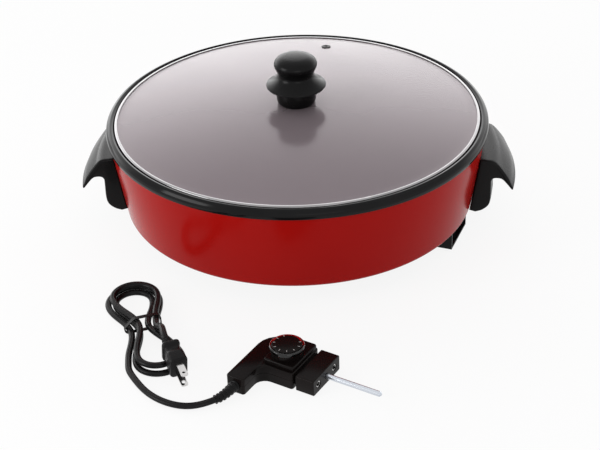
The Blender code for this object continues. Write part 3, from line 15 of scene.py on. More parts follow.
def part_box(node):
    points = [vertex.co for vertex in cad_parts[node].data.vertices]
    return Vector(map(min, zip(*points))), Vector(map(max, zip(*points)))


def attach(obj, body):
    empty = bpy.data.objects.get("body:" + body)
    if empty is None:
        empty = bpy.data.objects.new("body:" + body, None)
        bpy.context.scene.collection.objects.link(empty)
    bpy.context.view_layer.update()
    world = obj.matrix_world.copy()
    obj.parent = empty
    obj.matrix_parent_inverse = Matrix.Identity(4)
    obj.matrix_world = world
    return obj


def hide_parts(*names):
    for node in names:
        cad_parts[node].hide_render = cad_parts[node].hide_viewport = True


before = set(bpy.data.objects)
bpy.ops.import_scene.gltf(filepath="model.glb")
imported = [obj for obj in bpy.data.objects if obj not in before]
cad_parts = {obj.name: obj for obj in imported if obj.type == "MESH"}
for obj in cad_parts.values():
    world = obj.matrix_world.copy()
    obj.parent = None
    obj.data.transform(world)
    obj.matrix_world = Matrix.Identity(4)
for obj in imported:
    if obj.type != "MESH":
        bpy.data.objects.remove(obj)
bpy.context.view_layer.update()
print("CAD nodes:", len(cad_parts))

# %% [markdown]
# ## Sizes
# The pieces of the skillet share a few radii and heights, measured from the floor and from its axis.
# The heat control, the cord and the plug lie in frames of their own in front of it.

# %% Shared sizes
GAP = 0.0003
SKILLET_Y = 0.0682571
GROUND = 0.021
RIM_RADIUS = 0.190
LEDGE_Z = 0.108
LEDGE_INNER = 0.177
LEDGE_OUTER = 0.1825
LID_Z = LEDGE_Z + GAP
SHELL_FOOT = 0.1752
SHELL_TOP = 0.1876
SHELL_BEND_Z = 0.1019
ROUND_STEPS = 180
SKILLET = Matrix.Translation((0.0, SKILLET_Y, 0.0))
LID = Matrix.Translation((0.0, SKILLET_Y, LID_Z))

# The heat control and the hank are placed from the front of the rim
CONTROL_PLACE = (0.0042, -0.0843, 0.0)
CONTROL_TURN = math.radians(-28.0)
HANK_PLACE = (-0.129, -0.0292, 0.0)
HANK_TURN = math.radians(111.1)
FRONT = Matrix.Translation((0.0, SKILLET_Y - RIM_RADIUS, 0.0))
CONTROL = FRONT @ Matrix.Translation(CONTROL_PLACE) @ Matrix.Rotation(CONTROL_TURN, 4, "Z")
HANK = FRONT @ Matrix.Translation(HANK_PLACE) @ Matrix.Rotation(HANK_TURN, 4, "Z")
# Lays a piece that was turned about Z along +X
ALONG = Matrix(((0, 0, 1, 0), (1, 0, 0, 0), (0, 1, 0, 0), (0, 0, 0, 1)))


def shell_radius(z):
    """The shell's outer radius on its flared wall."""
    return SHELL_FOOT + (z - GROUND) * (SHELL_TOP - SHELL_FOOT) / (SHELL_BEND_Z - GROUND)


print(f"shell: radius {SHELL_FOOT} m at its foot, {shell_radius(SHELL_BEND_Z):.4f} m under the rim")

# %% [markdown]
# ## Camera
# The camera stands in front of the skillet and looks down at it by about 32 degrees with a long lens,
# so that the round rim shows as a flat oval with little perspective.

# %% Camera
LENS = 90.0
SENSOR_WIDTH = 36.0
VIEW_END = 20.0
CAMERA_PLACE = (0.0927, -1.2574, 0.8032)
CAMERA_RIGHT = Vector((0.9982, 0.0536, -0.0268))
CAMERA_UP = Vector((-0.0054, 0.5266, 0.8501))
CAMERA_FORWARD = Vector((-0.0596, 0.8484, -0.5260))
camera_data = bpy.data.cameras.new("camera")
camera_data.lens = LENS
camera_data.sensor_width = SENSOR_WIDTH
camera_data.sensor_fit = "HORIZONTAL"
camera_data.clip_end = VIEW_END
camera = bpy.data.objects.new("camera", camera_data)
bpy.context.scene.collection.objects.link(camera)
facing = Matrix((CAMERA_RIGHT, CAMERA_UP, -CAMERA_FORWARD)).transposed()
facing = facing.to_quaternion().to_matrix().to_4x4()
camera.matrix_world = Matrix.Translation(CAMERA_PLACE) @ facing
bpy.context.scene.camera = camera
print("camera at", CAMERA_PLACE)

# %% [markdown]
# ## Node groups that the finishes share
# A moulded, painted or coated surface is never even: it has faint smudges and a fine grain, and here its
# edges are painted lighter as a painted highlight. One group gives those three as masks, and a second gives
# the fine rings that a lathe or a polishing belt leaves on a turned part.

# %% Shared node groups
def new_group(name, inputs, outputs):
    """An empty shader node group with float inputs and outputs, and its two end nodes."""
    tree = bpy.data.node_groups.new(name, "ShaderNodeTree")
    for label, default in inputs:
        socket = tree.interface.new_socket(label, in_out="INPUT", socket_type="NodeSocketFloat")
        socket.default_value = default
    for label in outputs:
        tree.interface.new_socket(label, in_out="OUTPUT", socket_type="NodeSocketFloat")
    return tree, tree.nodes.new("NodeGroupInput"), tree.nodes.new("NodeGroupOutput")


def noise(tree, vector, scale, detail=2.0):
    """A noise texture; `scale` is a socket or a number."""
    node = tree.nodes.new("ShaderNodeTexNoise")
    node.inputs["Detail"].default_value = detail
    tree.links.new(vector, node.inputs["Vector"])
    if isinstance(scale, float):
        node.inputs["Scale"].default_value = scale
    else:
        tree.links.new(scale, node.inputs["Scale"])
    return node.outputs["Fac"]


def spread(tree, value, low, high):
    """Stretches a value's range from low..high to 0..1, held at both ends."""
    node = tree.nodes.new("ShaderNodeMapRange")
    node.inputs["From Min"].default_value = low
    node.inputs["From Max"].default_value = high
    tree.links.new(value, node.inputs["Value"])
    return node.outputs["Result"]


SMUDGE_DETAIL = 4.0
SMUDGE_RANGE = (0.35, 0.7)
# Where the surface is pointed, its colour is painted lighter as a painted highlight
EDGE_HIGHLIGHT_RANGE = (0.52, 0.62)
surface_and_edge_highlight, life_in, life_out = new_group(
    "surface_and_edge_highlight", (("Smudge Scale", 18.0), ("Grain Scale", 2500.0)), ("Smudge", "Grain", "Edge"))
on_piece = surface_and_edge_highlight.nodes.new("ShaderNodeTexCoord").outputs["Object"]
smudges = noise(surface_and_edge_highlight, on_piece, life_in.outputs["Smudge Scale"], SMUDGE_DETAIL)
grains = noise(surface_and_edge_highlight, on_piece, life_in.outputs["Grain Scale"])
pointed = surface_and_edge_highlight.nodes.new("ShaderNodeNewGeometry").outputs["Pointiness"]
surface_and_edge_highlight.links.new(spread(surface_and_edge_highlight, smudges, *SMUDGE_RANGE), life_out.inputs["Smudge"])
surface_and_edge_highlight.links.new(grains, life_out.inputs["Grain"])
surface_and_edge_highlight.links.new(spread(surface_and_edge_highlight, pointed, *EDGE_HIGHLIGHT_RANGE), life_out.inputs["Edge"])

RING_DETAIL = 3.0
turned_rings, rings_in, rings_out = new_group(
    "turned_rings", (("Centre X", 0.0), ("Centre Y", SKILLET_Y), ("Density", 2500.0)), ("Rings",))
ring_nodes, ring_links = turned_rings.nodes, turned_rings.links
centre = ring_nodes.new("ShaderNodeCombineXYZ")
ring_links.new(rings_in.outputs["Centre X"], centre.inputs["X"])
ring_links.new(rings_in.outputs["Centre Y"], centre.inputs["Y"])
offset = ring_nodes.new("ShaderNodeVectorMath")
offset.operation = "SUBTRACT"
ring_links.new(ring_nodes.new("ShaderNodeTexCoord").outputs["Object"], offset.inputs[0])
ring_links.new(centre.outputs["Vector"], offset.inputs[1])
from_centre = ring_nodes.new("ShaderNodeSeparateXYZ")
ring_links.new(offset.outputs["Vector"], from_centre.inputs["Vector"])
flat = ring_nodes.new("ShaderNodeCombineXYZ")
ring_links.new(from_centre.outputs["X"], flat.inputs["X"])
ring_links.new(from_centre.outputs["Y"], flat.inputs["Y"])
radius = ring_nodes.new("ShaderNodeVectorMath")
radius.operation = "LENGTH"
ring_links.new(flat.outputs["Vector"], radius.inputs[0])
across = ring_nodes.new("ShaderNodeCombineXYZ")
ring_links.new(radius.outputs["Value"], across.inputs["X"])
ring_links.new(from_centre.outputs["Z"], across.inputs["Y"])
rings = noise(turned_rings, across.outputs["Vector"], rings_in.outputs["Density"], RING_DETAIL)
ring_links.new(rings, rings_out.inputs["Rings"])
print("groups:", [group.name for group in bpy.data.node_groups])

# %% [markdown]
# ## Finishes
# Each finish is a Principled shader whose plain values are set on its own sockets. The groups feed its
# colour, roughness and bump, each with the size and strength that this surface has.

# %% A finish from its colours and its surface
def group_node(tree, group, **values):
    """A shared group in a material, with the values that this finish has."""
    node = tree.nodes.new("ShaderNodeGroup")
    node.node_tree = group
    for label, value in values.items():
        node.inputs[label.replace("_", " ")].default_value = value
    return node


def mixed(tree, factor, first, second):
    """A colour between two others; each is a colour or a socket."""
    node = tree.nodes.new("ShaderNodeMix")
    node.data_type = "RGBA"
    tree.links.new(factor, node.inputs["Factor"])
    for label, color in (("A", first), ("B", second)):
        socket = next(s for s in node.inputs if s.name == label and s.type == "RGBA")
        if isinstance(color, tuple):
            socket.default_value = (*color, 1.0)
        else:
            tree.links.new(color, socket)
    return next(s for s in node.outputs if s.type == "RGBA")


def finish(name, color, smudged, edge, roughness, rougher, *, metallic=0.0, specular=0.5, smudge=18.0,
           grain=2500.0, depth=0.00001, rings=0.0):
    """A procedural finish: its colour, the same where smudged, the lighter colour painted on its edges as a
    painted highlight, and its roughness range.
    """
    material = bpy.data.materials.new(name)
    material.use_nodes = True
    tree = material.node_tree
    shader = tree.nodes["Principled BSDF"]
    life = group_node(tree, surface_and_edge_highlight, Smudge_Scale=smudge, Grain_Scale=grain)
    base = mixed(tree, life.outputs["Smudge"], color, smudged)
    tree.links.new(mixed(tree, life.outputs["Edge"], base, edge), shader.inputs["Base Color"])
    gloss = tree.nodes.new("ShaderNodeMapRange")
    gloss.inputs["To Min"].default_value = roughness
    gloss.inputs["To Max"].default_value = rougher
    tree.links.new(life.outputs["Smudge"], gloss.inputs["Value"])
    tree.links.new(gloss.outputs["Result"], shader.inputs["Roughness"])
    bump = tree.nodes.new("ShaderNodeBump")
    bump.inputs["Distance"].default_value = depth
    height = life.outputs["Grain"]
    if rings:
        height = group_node(tree, turned_rings, Density=rings).outputs["Rings"]
    tree.links.new(height, bump.inputs["Height"])
    tree.links.new(bump.outputs["Normal"], shader.inputs["Normal"])
    shader.inputs["Metallic"].default_value = metallic
    shader.inputs["Specular IOR Level"].default_value = specular
    return material


# %% The finishes of this skillet
# The third colour of each finish is a painted highlight on its edges
RED_PAINT = finish("red_paint", (0.360, 0.0055, 0.0040), (0.335, 0.0048, 0.0036), (0.42, 0.012, 0.009),
                   0.16, 0.24, specular=0.05, smudge=9.0, grain=700.0, depth=0.000004)
BLACK_COATING = finish("black_coating", (0.0040, 0.0040, 0.0044), (0.007, 0.007, 0.0074),
                       (0.016, 0.016, 0.016), 0.08, 0.15, specular=0.13, grain=1800.0, depth=0.000001)
BLACK_PLASTIC = finish("black_plastic", (0.0030, 0.0029, 0.0031), (0.006, 0.0058, 0.006),
                       (0.011, 0.0105, 0.011), 0.20, 0.30, specular=0.12, grain=3200.0, depth=0.000006)
CONTROL_PLASTIC = finish("control_plastic", (0.0035, 0.0022, 0.0021), (0.006, 0.0042, 0.004),
                         (0.014, 0.0105, 0.010), 0.16, 0.26, specular=0.09, grain=3200.0, depth=0.000006)
BLACK_STEEL = finish("black_steel", (0.030, 0.029, 0.029), (0.045, 0.042, 0.040), (0.09, 0.085, 0.08),
                     0.42, 0.62, metallic=0.6, grain=1500.0, depth=0.00002)
BRIGHT_STEEL = finish("bright_steel", (0.66, 0.65, 0.645), (0.58, 0.57, 0.57), (0.75, 0.74, 0.73),
                      0.14, 0.26, metallic=1.0, grain=4000.0, depth=0.000004)
BAND_STEEL = finish("band_steel", (0.33, 0.32, 0.325), (0.28, 0.275, 0.28), (0.44, 0.43, 0.43),
                    0.12, 0.20, metallic=1.0, rings=3500.0, depth=0.000006)
BLUE_STEEL = finish("probe_steel", (0.62, 0.66, 0.72), (0.52, 0.55, 0.61), (0.74, 0.77, 0.82),
                    0.18, 0.30, metallic=1.0, grain=5000.0, depth=0.000004)
CERAMIC = finish("ceramic", (0.72, 0.69, 0.63), (0.64, 0.60, 0.53), (0.78, 0.75, 0.70), 0.45, 0.65,
                 grain=2200.0, depth=0.00003)
BLACK_VINYL = finish("black_vinyl", (0.0035, 0.0033, 0.0035), (0.0065, 0.006, 0.0065),
                     (0.011, 0.011, 0.011), 0.30, 0.42, specular=0.14, grain=2600.0, depth=0.00001)
WHITE_PRINT = finish("white_print", (0.34, 0.33, 0.32), (0.26, 0.25, 0.24), (0.40, 0.38, 0.37),
                     0.45, 0.6, grain=5000.0, depth=0.000004)
print("finishes:", len(bpy.data.materials))


# %% Glass and the red lens
CLEAR_GRAIN = 400.0
SMUDGED_SHARE = 0.93
SMUDGE_HAZE = 0.01


def clear_finish(name, color, roughness, *, ior, tint, smudge, transmission, specular=0.5):
    """A see-through finish: smudges darken it slightly and more than double its roughness."""
    material = bpy.data.materials.new(name)
    material.use_nodes = True
    tree = material.node_tree
    shader = tree.nodes["Principled BSDF"]
    life = group_node(tree, surface_and_edge_highlight, Smudge_Scale=smudge, Grain_Scale=CLEAR_GRAIN)
    smudged = tuple(SMUDGED_SHARE * channel for channel in color)
    tree.links.new(mixed(tree, life.outputs["Smudge"], color, smudged), shader.inputs["Base Color"])
    gloss = tree.nodes.new("ShaderNodeMapRange")
    gloss.inputs["To Min"].default_value = roughness
    gloss.inputs["To Max"].default_value = 2 * roughness + SMUDGE_HAZE
    tree.links.new(life.outputs["Smudge"], gloss.inputs["Value"])
    tree.links.new(gloss.outputs["Result"], shader.inputs["Roughness"])
    shader.inputs["IOR"].default_value = ior
    shader.inputs["Specular IOR Level"].default_value = specular
    shader.inputs["Specular Tint"].default_value = (*tint, 1.0)
    shader.inputs["Transmission Weight"].default_value = transmission
    return material


SMOKED_GLASS = clear_finish("smoked_glass", (0.43, 0.362, 0.390), 0.11, ior=1.50, tint=(1.0, 0.90, 0.94),
                            smudge=7.0, transmission=0.60, specular=0.30)
RED_LENS, RED_ARC = (
    clear_finish(name, (0.90, 0.020, 0.015), 0.06, ior=1.49, tint=(1.0, 1.0, 1.0), smudge=60.0,
                 transmission=0.9)
    for name in ("red_lens", "red_arc"))
print("see-through finishes:", SMOKED_GLASS.name, RED_LENS.name, RED_ARC.name)

# %% [markdown]
# ## Tools for shaping
# A turned part starts as a wire section in the XZ plane. Its corners are bevelled while it is still a
# wire, and one full spin makes the solid, as on a lathe. A moulded part starts as a plan outline with
# bevelled corners that is filled and extruded. A bore is cut with an exact Boolean, which is applied at
# once so that no cutter is left in the scene.

# %% Sections and outlines
MERGE = 1e-6
SAME_HEIGHT = 1e-7


def rounded(bm, geom, width, segments, affect="EDGES"):
    """Rounds edges, or the corners of a wire, by `width`."""
    bmesh.ops.bevel(bm, geom=geom, offset=width, offset_type="OFFSET", segments=segments, profile=0.5,
                    affect=affect, material=-1)


def wire(points, axes="xz", segments=5):
    """A closed wire through (a, b) or (a, b, corner radius) points, with its corners rounded."""
    bm = bmesh.new()
    verts = [bm.verts.new((p[0], 0.0, p[1]) if axes == "xz" else (p[0], p[1], 0.0)) for p in points]
    for start, end in zip(verts, verts[1:] + verts[:1]):
        bm.edges.new((start, end))
    corners = {}
    for i, point in enumerate(points):
        if len(point) > 2:
            before = (verts[i - 1].co - verts[i].co).normalized()
            after = (verts[(i + 1) % len(verts)].co - verts[i].co).normalized()
            reach = point[2] / math.tan(before.angle(after) / 2)
            corners.setdefault(round(reach, 6), []).append(verts[i])
    for reach, group in corners.items():
        rounded(bm, group, reach, segments, "VERTICES")
    return bm


def turned(points, steps=ROUND_STEPS, segments=5):
    """A section spun all the way round Z."""
    bm = wire(points, segments=segments)
    bmesh.ops.spin(bm, geom=bm.verts[:] + bm.edges[:], cent=(0, 0, 0), axis=(0, 0, 1),
                   angle=math.tau, steps=steps, use_merge=True)
    return bm


def prism(points, low, high, edge, rims=("low", "high")):
    """A plan outline made solid from z `low` to `high`, with its rims rounded by `edge`."""
    bm = wire(points, axes="xy")
    bmesh.ops.contextual_create(bm, geom=bm.edges[:])
    bmesh.ops.translate(bm, verts=bm.verts, vec=(0, 0, low))
    raised = bmesh.ops.extrude_face_region(bm, geom=bm.faces[:], use_keep_orig=True)["geom"]
    bmesh.ops.translate(bm, verts=[v for v in raised if isinstance(v, bmesh.types.BMVert)],
                        vec=(0, 0, high - low))
    bmesh.ops.recalc_face_normals(bm, faces=bm.faces)
    heights = [z for z, rim in ((low, "low"), (high, "high")) if rim in rims]
    rounded(bm, [e for e in bm.edges if any(all(abs(v.co.z - z) < SAME_HEIGHT for v in e.verts)
                                            for z in heights)], edge, 4)
    return bm


def block(low, high):
    """A box between two corners."""
    bm = bmesh.new()
    bmesh.ops.create_cube(bm, size=1.0)
    bmesh.ops.scale(bm, verts=bm.verts, vec=Vector(high) - Vector(low))
    bmesh.ops.translate(bm, verts=bm.verts, vec=(Vector(low) + Vector(high)) / 2)
    return bm


# %% From a bmesh to a piece
SHARP_ANGLE = math.radians(32.0)


def shape(name, bm, matrix=None):
    """A bmesh made an object at the origin: doubles merged, faces outwards, smooth but for creases."""
    bmesh.ops.remove_doubles(bm, verts=bm.verts, dist=MERGE)
    bmesh.ops.dissolve_degenerate(bm, edges=bm.edges, dist=MERGE)
    bmesh.ops.recalc_face_normals(bm, faces=bm.faces)
    if matrix is not None:
        bmesh.ops.transform(bm, matrix=matrix, verts=bm.verts)
    mesh = bpy.data.meshes.new(name)
    bm.to_mesh(mesh)
    bm.free()
    obj = bpy.data.objects.new(name, mesh)
    bpy.context.scene.collection.objects.link(obj)
    return obj


def solved(obj):
    """The object with its modifiers applied."""
    result = bpy.data.meshes.new_from_object(obj.evaluated_get(bpy.context.evaluated_depsgraph_get()))
    obj.modifiers.clear()
    obj.data = result
    return obj


def combine(obj, bm, matrix, operation="DIFFERENCE"):
    """Cuts a second shape out of an object, or joins it on."""
    other = shape("cutter", bm, matrix)
    change = obj.modifiers.new("change", "BOOLEAN")
    change.operation = operation
    change.solver = "EXACT"
    change.object = other
    solved(obj)
    bpy.data.objects.remove(other)
    return obj


def piece(obj, material, body, slot, *nodes):
    """Gives an object its finish, its body and the CAD nodes it stands for, which it hides; its `slot`
    argument is not used.
    """
    obj.data.materials.clear()
    obj.data.materials.append(material)
    obj.data.shade_smooth()
    obj.data.set_sharp_from_angle(angle=SHARP_ANGLE)
    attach(obj, body)
    if nodes:
        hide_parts(*nodes)
    print(f"{obj.name}: {len(obj.data.polygons)} faces")
    return obj


def rounded_edges(obj, width, segments=3, angle=math.radians(35.0)):
    """A live Bevel on every edge sharper than the angle."""
    bevel = obj.modifiers.new("edges", "BEVEL")
    bevel.width = width
    bevel.segments = segments
    bevel.limit_method = "ANGLE"
    bevel.angle_limit = angle
    return obj


FLAT_ANGLE = math.radians(1.0)


def softened(node, name, width, segments=2):
    """A merged copy of a CAD node whose flat faces are whole again and whose edges are rounded."""
    bm = bmesh.new()
    bm.from_mesh(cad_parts[node].data)
    bmesh.ops.remove_doubles(bm, verts=bm.verts, dist=MERGE)
    bmesh.ops.dissolve_limit(bm, angle_limit=FLAT_ANGLE, verts=bm.verts, edges=bm.edges)
    return rounded_edges(shape(name, bm), width, segments)


def smooth_through(points, spacing):
    """Points about `spacing` apart on a smooth curve through the given ones."""
    knots = [Vector(p) for p in points]
    knots = [2 * knots[0] - knots[1], *knots, 2 * knots[-1] - knots[-2]]
    route = []
    for before, start, end, after in zip(knots, knots[1:], knots[2:], knots[3:]):
        count = max(1, round((end - start).length / spacing))
        leave, arrive = (end - before) / 2, (after - start) / 2
        for i in range(count):
            t = i / count
            route.append(start * (2 * t**3 - 3 * t**2 + 1) + leave * (t**3 - 2 * t**2 + t)
                         + end * (3 * t**2 - 2 * t**3) + arrive * (t**3 - t**2))
    return route + [knots[-2]]


print("tools: wire, turned, prism, block, combine, softened, smooth_through")

# %% [markdown]
# ## The cord
# A mains lead with two cores leaves the heat control through a strain relief, is folded into a hank
# with a tie round its waist, and ends in a plug. The hank lies where the CAD has it, so the same route
# is worked out here and then eased. A section with a groove above and below is swept along it, which
# shows the two cores.

# %% The cord's route
CORD = 0.006
GRIP_BACK = 0.033
GRIP_END = 0.048
GRIP_WIDTH = 0.018
BLOCK_HEIGHT = 0.0156
BLOCK_Z = GAP + BLOCK_HEIGHT / 2
RELIEF_LENGTH = 0.023
RELIEF_BEND = 0.045
RELIEF_DROP = 0.0025
RELIEF_RIBS = 6
HANK_RUN = 0.095
HANK_FOLD = 0.0163
HANK_WAIST = 0.002
HANK_STEP = 0.0067
HANK_WAIST_STEP = 0.0077
HANK_LAYER = 0.0066
HANK_POINTS = 6
HANK_FOLDS = 5
HANK_CLIMB = 3
TIE_SHEET = 0.0008
LEAD_ROUTE = ((-0.0675, -0.1385, 0.0047), (-0.0760, -0.1396, 0.0038), (-0.0880, -0.1377, 0.0031),
              (-0.1025, -0.1312, 0.0030), (-0.1160, -0.1200, 0.0030), (-0.1268, -0.1055, 0.0030))
TAIL_ROUTE = ((-0.1155, -0.0400, 0.0150), (-0.1120, -0.0490, 0.0225), (-0.1092, -0.0560, 0.0265))
PLUG_FACE = (-0.088, -0.107, 0.0196)
PLUG_AXIS = Vector((0.4219, -0.884, -0.2009)).normalized()
PLUG_LENGTH = 0.027
PLUG_NECK = 0.008


def relief_route(steps, root):
    """The strain relief's centre line in the heat control's frame."""
    x = -GRIP_BACK + GRIP_WIDTH / 2
    points = [Vector((x, root, BLOCK_Z))] if root else []
    for i in range(steps + 1):
        t = -RELIEF_LENGTH / RELIEF_BEND * i / steps
        drop = RELIEF_DROP * (1 - math.cos(math.pi * i / steps)) / 2
        points.append(Vector((x - RELIEF_BEND * (1 - math.cos(t)),
                              -GRIP_END - GAP + RELIEF_BEND * math.sin(t), BLOCK_Z - drop)))
    return points


def hank_run(run, share):
    """A point of a run, `share` of the way along it; the runs go up and down in turn."""
    up = 1 if run % 2 == 0 else -1
    layer = 0.0 if run < HANK_CLIMB else 1.0
    if run == HANK_CLIMB:
        layer = share * share * (3 - 2 * share)
    along = up * HANK_RUN * (share - 0.5)
    near = min(abs(along) / (HANK_RUN / 2), 1.0)
    open_share = near * near * (3 - 2 * near)
    out = abs(run / 2 + (share - 0.5) / 4 - HANK_CLIMB / 2)
    waist = HANK_WAIST + HANK_WAIST_STEP * out
    fold = HANK_FOLD + HANK_STEP * out
    lift = (TIE_SHEET + 2 * GAP) * (1 - open_share)
    return Vector((along, up * (waist + (fold - waist) * open_share),
                   CORD / 2 + HANK_LAYER * layer + lift))


def hank_route():
    """A run before each fold, then half a run, which ends at the waist."""
    points = []
    for run in range(HANK_FOLDS):
        up = 1 if run % 2 == 0 else -1
        points += [hank_run(run, i / HANK_POINTS) for i in range(HANK_POINTS)]
        for i in range(HANK_POINTS):
            turn = math.pi * i / HANK_POINTS
            out = abs(run / 2 + (0.5 + i / HANK_POINTS) / 4 - HANK_CLIMB / 2)
            radius = HANK_FOLD + HANK_STEP * out
            layer = 0 if run < HANK_CLIMB else 1
            points.append(Vector((up * (HANK_RUN / 2 + radius * math.sin(turn)),
                                  up * radius * math.cos(turn), CORD / 2 + HANK_LAYER * layer)))
    return points + [hank_run(HANK_FOLDS, i / HANK_POINTS) for i in range(HANK_POINTS // 2 + 1)]


def plug_frame():
    """The plug's frame on its face: +Z out of the face, +Y from blade to blade."""
    upright = (Vector((0, 0, 1)) - PLUG_AXIS * PLUG_AXIS.z).normalized()
    turn = Matrix((upright.cross(PLUG_AXIS), upright, PLUG_AXIS)).transposed().to_4x4()
    return FRONT @ Matrix.Translation(PLUG_FACE) @ turn


PATH_STEP = 0.0022
EASING_PASSES = 12
PLUG = plug_frame()
hank = [HANK @ point for point in hank_route()]
before_tip, tip = (CONTROL @ point for point in relief_route(2 * RELIEF_RIBS, None)[-2:])
leave = (tip - before_tip).normalized()
enter = (hank[1] - hank[0]).normalized()
enter.z = 0.0
out_of = (hank[-1] - hank[-2]).normalized()
out_of.z = 0.0
plug_axis = PLUG.to_3x3() @ Vector((0, 0, 1))
neck = PLUG @ Vector((0, 0, -PLUG_LENGTH - PLUG_NECK - GAP))
route = [tip + leave * GAP, tip + leave * CORD, *(FRONT @ Vector(p) for p in LEAD_ROUTE),
         hank[0] - enter * CORD, *hank, hank[-1] + out_of * CORD,
         *(FRONT @ Vector(p) for p in TAIL_ROUTE), neck - plug_axis * CORD, neck]
path = smooth_through(route, PATH_STEP)
# Each pass eases the bends a little, while both ends and the first step keep their places
for _ in range(EASING_PASSES):
    eased = [(a + 2 * b + c) / 4 for a, b, c in zip(path[1:], path[2:], path[3:])]
    path = [path[0], path[1], *eased, path[-1]]


# %% Sweep the cord
TUBE_RESOLUTION = 8
CORE_HEIGHT = 0.00275
CORE_GROOVE = 0.00042
GROOVE_SHARE = 0.23


def swept(name, points, section=None, radii=None):
    """A mesh tube along points, from a flat section or with a radius at each point."""
    curve = bpy.data.curves.new(name, "CURVE")
    curve.dimensions = "3D"
    curve.twist_mode = "Z_UP"
    curve.use_fill_caps = True
    spline = curve.splines.new("POLY")
    spline.points.add(len(points) - 1)
    for i, point in enumerate(points):
        spline.points[i].co = (*point, 1.0)
        spline.points[i].radius = radii[i] / max(radii) if radii else 1.0
    source = bpy.data.objects.new(name + "_curve", curve)
    helpers = [source]
    if section:
        outline = bpy.data.curves.new(name + "_section", "CURVE")
        ring = outline.splines.new("POLY")
        ring.points.add(len(section) - 1)
        ring.use_cyclic_u = True
        for target, (x, y) in zip(ring.points, section):
            target.co = (x, y, 0.0, 1.0)
        helpers.append(bpy.data.objects.new(name + "_section", outline))
        curve.bevel_mode = "OBJECT"
        curve.bevel_object = helpers[-1]
    else:
        curve.bevel_depth = max(radii)
        curve.bevel_resolution = TUBE_RESOLUTION
    for helper in helpers:
        bpy.context.scene.collection.objects.link(helper)
    mesh = bpy.data.meshes.new_from_object(
        source.evaluated_get(bpy.context.evaluated_depsgraph_get()))
    for helper in helpers:
        bpy.data.objects.remove(helper)
    bm = bmesh.new()
    bm.from_mesh(mesh)
    return shape(name, bm)


def two_core_section(count=28):
    """An oval as wide as the cord with a shallow groove above and below between the cores."""
    points = []
    for i in range(count):
        t = math.tau * i / count
        groove = CORE_GROOVE * math.exp(-(math.cos(t) / GROOVE_SHARE) ** 2)
        points.append((CORD / 2 * math.cos(t), (CORE_HEIGHT - groove) * math.sin(t)))
    return points


cord = piece(swept("cord", path, two_core_section()), BLACK_VINYL, "heat_control", "black_vinyl",
             "cord_lead", "cord_hank", "cord_tail")

# %% [markdown]
# ## Strain relief, tie and plug
# The strain relief is a soft taper cut by grooves, so that it bends without kinking. The tie is a flat
# band round the hank's waist. The plug is one moulding with a waist for the fingers and two flat blades.

# %% Strain relief and tie
RELIEF_INSIDE = 0.004
RELIEF_RADIUS = 0.0052
RELIEF_TIP_RADIUS = 0.0041
RELIEF_GROOVE = 0.0007
RELIEF_STEEPNESS = 1.6
RELIEF_STEPS = 96
TIE_EDGE = 0.0002
relief_points = [CONTROL @ point for point in relief_route(RELIEF_STEPS, RELIEF_INSIDE - GRIP_END)]
relief_radii = [RELIEF_RADIUS]
for i in range(RELIEF_STEPS + 1):
    share = i / RELIEF_STEPS
    wave = 0.5 - RELIEF_STEEPNESS * math.cos(math.tau * RELIEF_RIBS * share)
    groove = max(0.0, min(1.0, wave))
    relief_radii.append(RELIEF_RADIUS + (RELIEF_TIP_RADIUS - RELIEF_RADIUS) * share
                        - RELIEF_GROOVE * groove)
piece(swept("strain_relief_ribs", relief_points, radii=relief_radii), BLACK_VINYL, "heat_control",
      "black_vinyl", "strain_relief")
tie = piece(softened("cord_tie", "tie_band", TIE_EDGE), BLACK_VINYL, "heat_control", "black_vinyl",
            "cord_tie")

# %% Plug body
# How far back each section of the plug is, how wide and how thick
PLUG_SHARES = ((0, 0.94, 0.94), (0.05, 1, 1), (0.42, 0.96, 0.96), (0.58, 0.80, 0.84),
               (0.70, 0.80, 0.84), (0.78, 0.98, 1), (0.88, 0.98, 1), (1, 0.66, 0.78))
PLUG_HALF_WIDTH = 0.011
PLUG_HALF_THICKNESS = 0.008
PLUG_CORNER = 0.0035
PLUG_EDGE = 0.0011
PLUG_EDGE_ANGLE = math.radians(12.0)
NECK_RADIUS = 0.0042
NECK_FLARE = 0.25
NECK_GROOVE = 0.0005
NECK_STEPS = 16
NECK_SUNK = 0.0015


def plug_body():
    """Rounded sections bridged from the face to the neck."""
    bm = bmesh.new()
    loops = []
    for back, width, thickness in PLUG_SHARES:
        x, y = PLUG_HALF_THICKNESS * thickness, PLUG_HALF_WIDTH * width
        corner = PLUG_CORNER * thickness
        section = wire([(-x, -y, corner), (x, -y, corner), (x, y, corner), (-x, y, corner)], axes="xy")
        bmesh.ops.translate(section, verts=section.verts, vec=(0, 0, -PLUG_LENGTH * back))
        mesh = bpy.data.meshes.new("section")
        section.to_mesh(mesh)
        section.free()
        known = set(bm.edges)
        bm.from_mesh(mesh)
        bpy.data.meshes.remove(mesh)
        loops.append([e for e in bm.edges if e not in known])
    for front, rear in zip(loops, loops[1:]):
        bmesh.ops.bridge_loops(bm, edges=front + rear)
    for end in (loops[0], loops[-1]):
        bmesh.ops.contextual_create(bm, geom=end)
    return bm


def plug_neck():
    """A tapering round neck with a groove at every other pair of steps."""
    root = NECK_RADIUS * (1 + NECK_FLARE)
    side = [(root - NECK_RADIUS * NECK_FLARE * i / NECK_STEPS - NECK_GROOVE * (i // 2 % 2),
             -PLUG_LENGTH - PLUG_NECK * i / NECK_STEPS) for i in range(NECK_STEPS + 1)]
    start = -PLUG_LENGTH + NECK_SUNK
    return turned([(0, start), (root, start), *side, (0, -PLUG_LENGTH - PLUG_NECK)], 32)


plug = shape("plug_moulding", plug_body(), PLUG)
rounded_edges(plug, PLUG_EDGE, 3, PLUG_EDGE_ANGLE)
solved(plug)
combine(plug, plug_neck(), PLUG, "UNION")

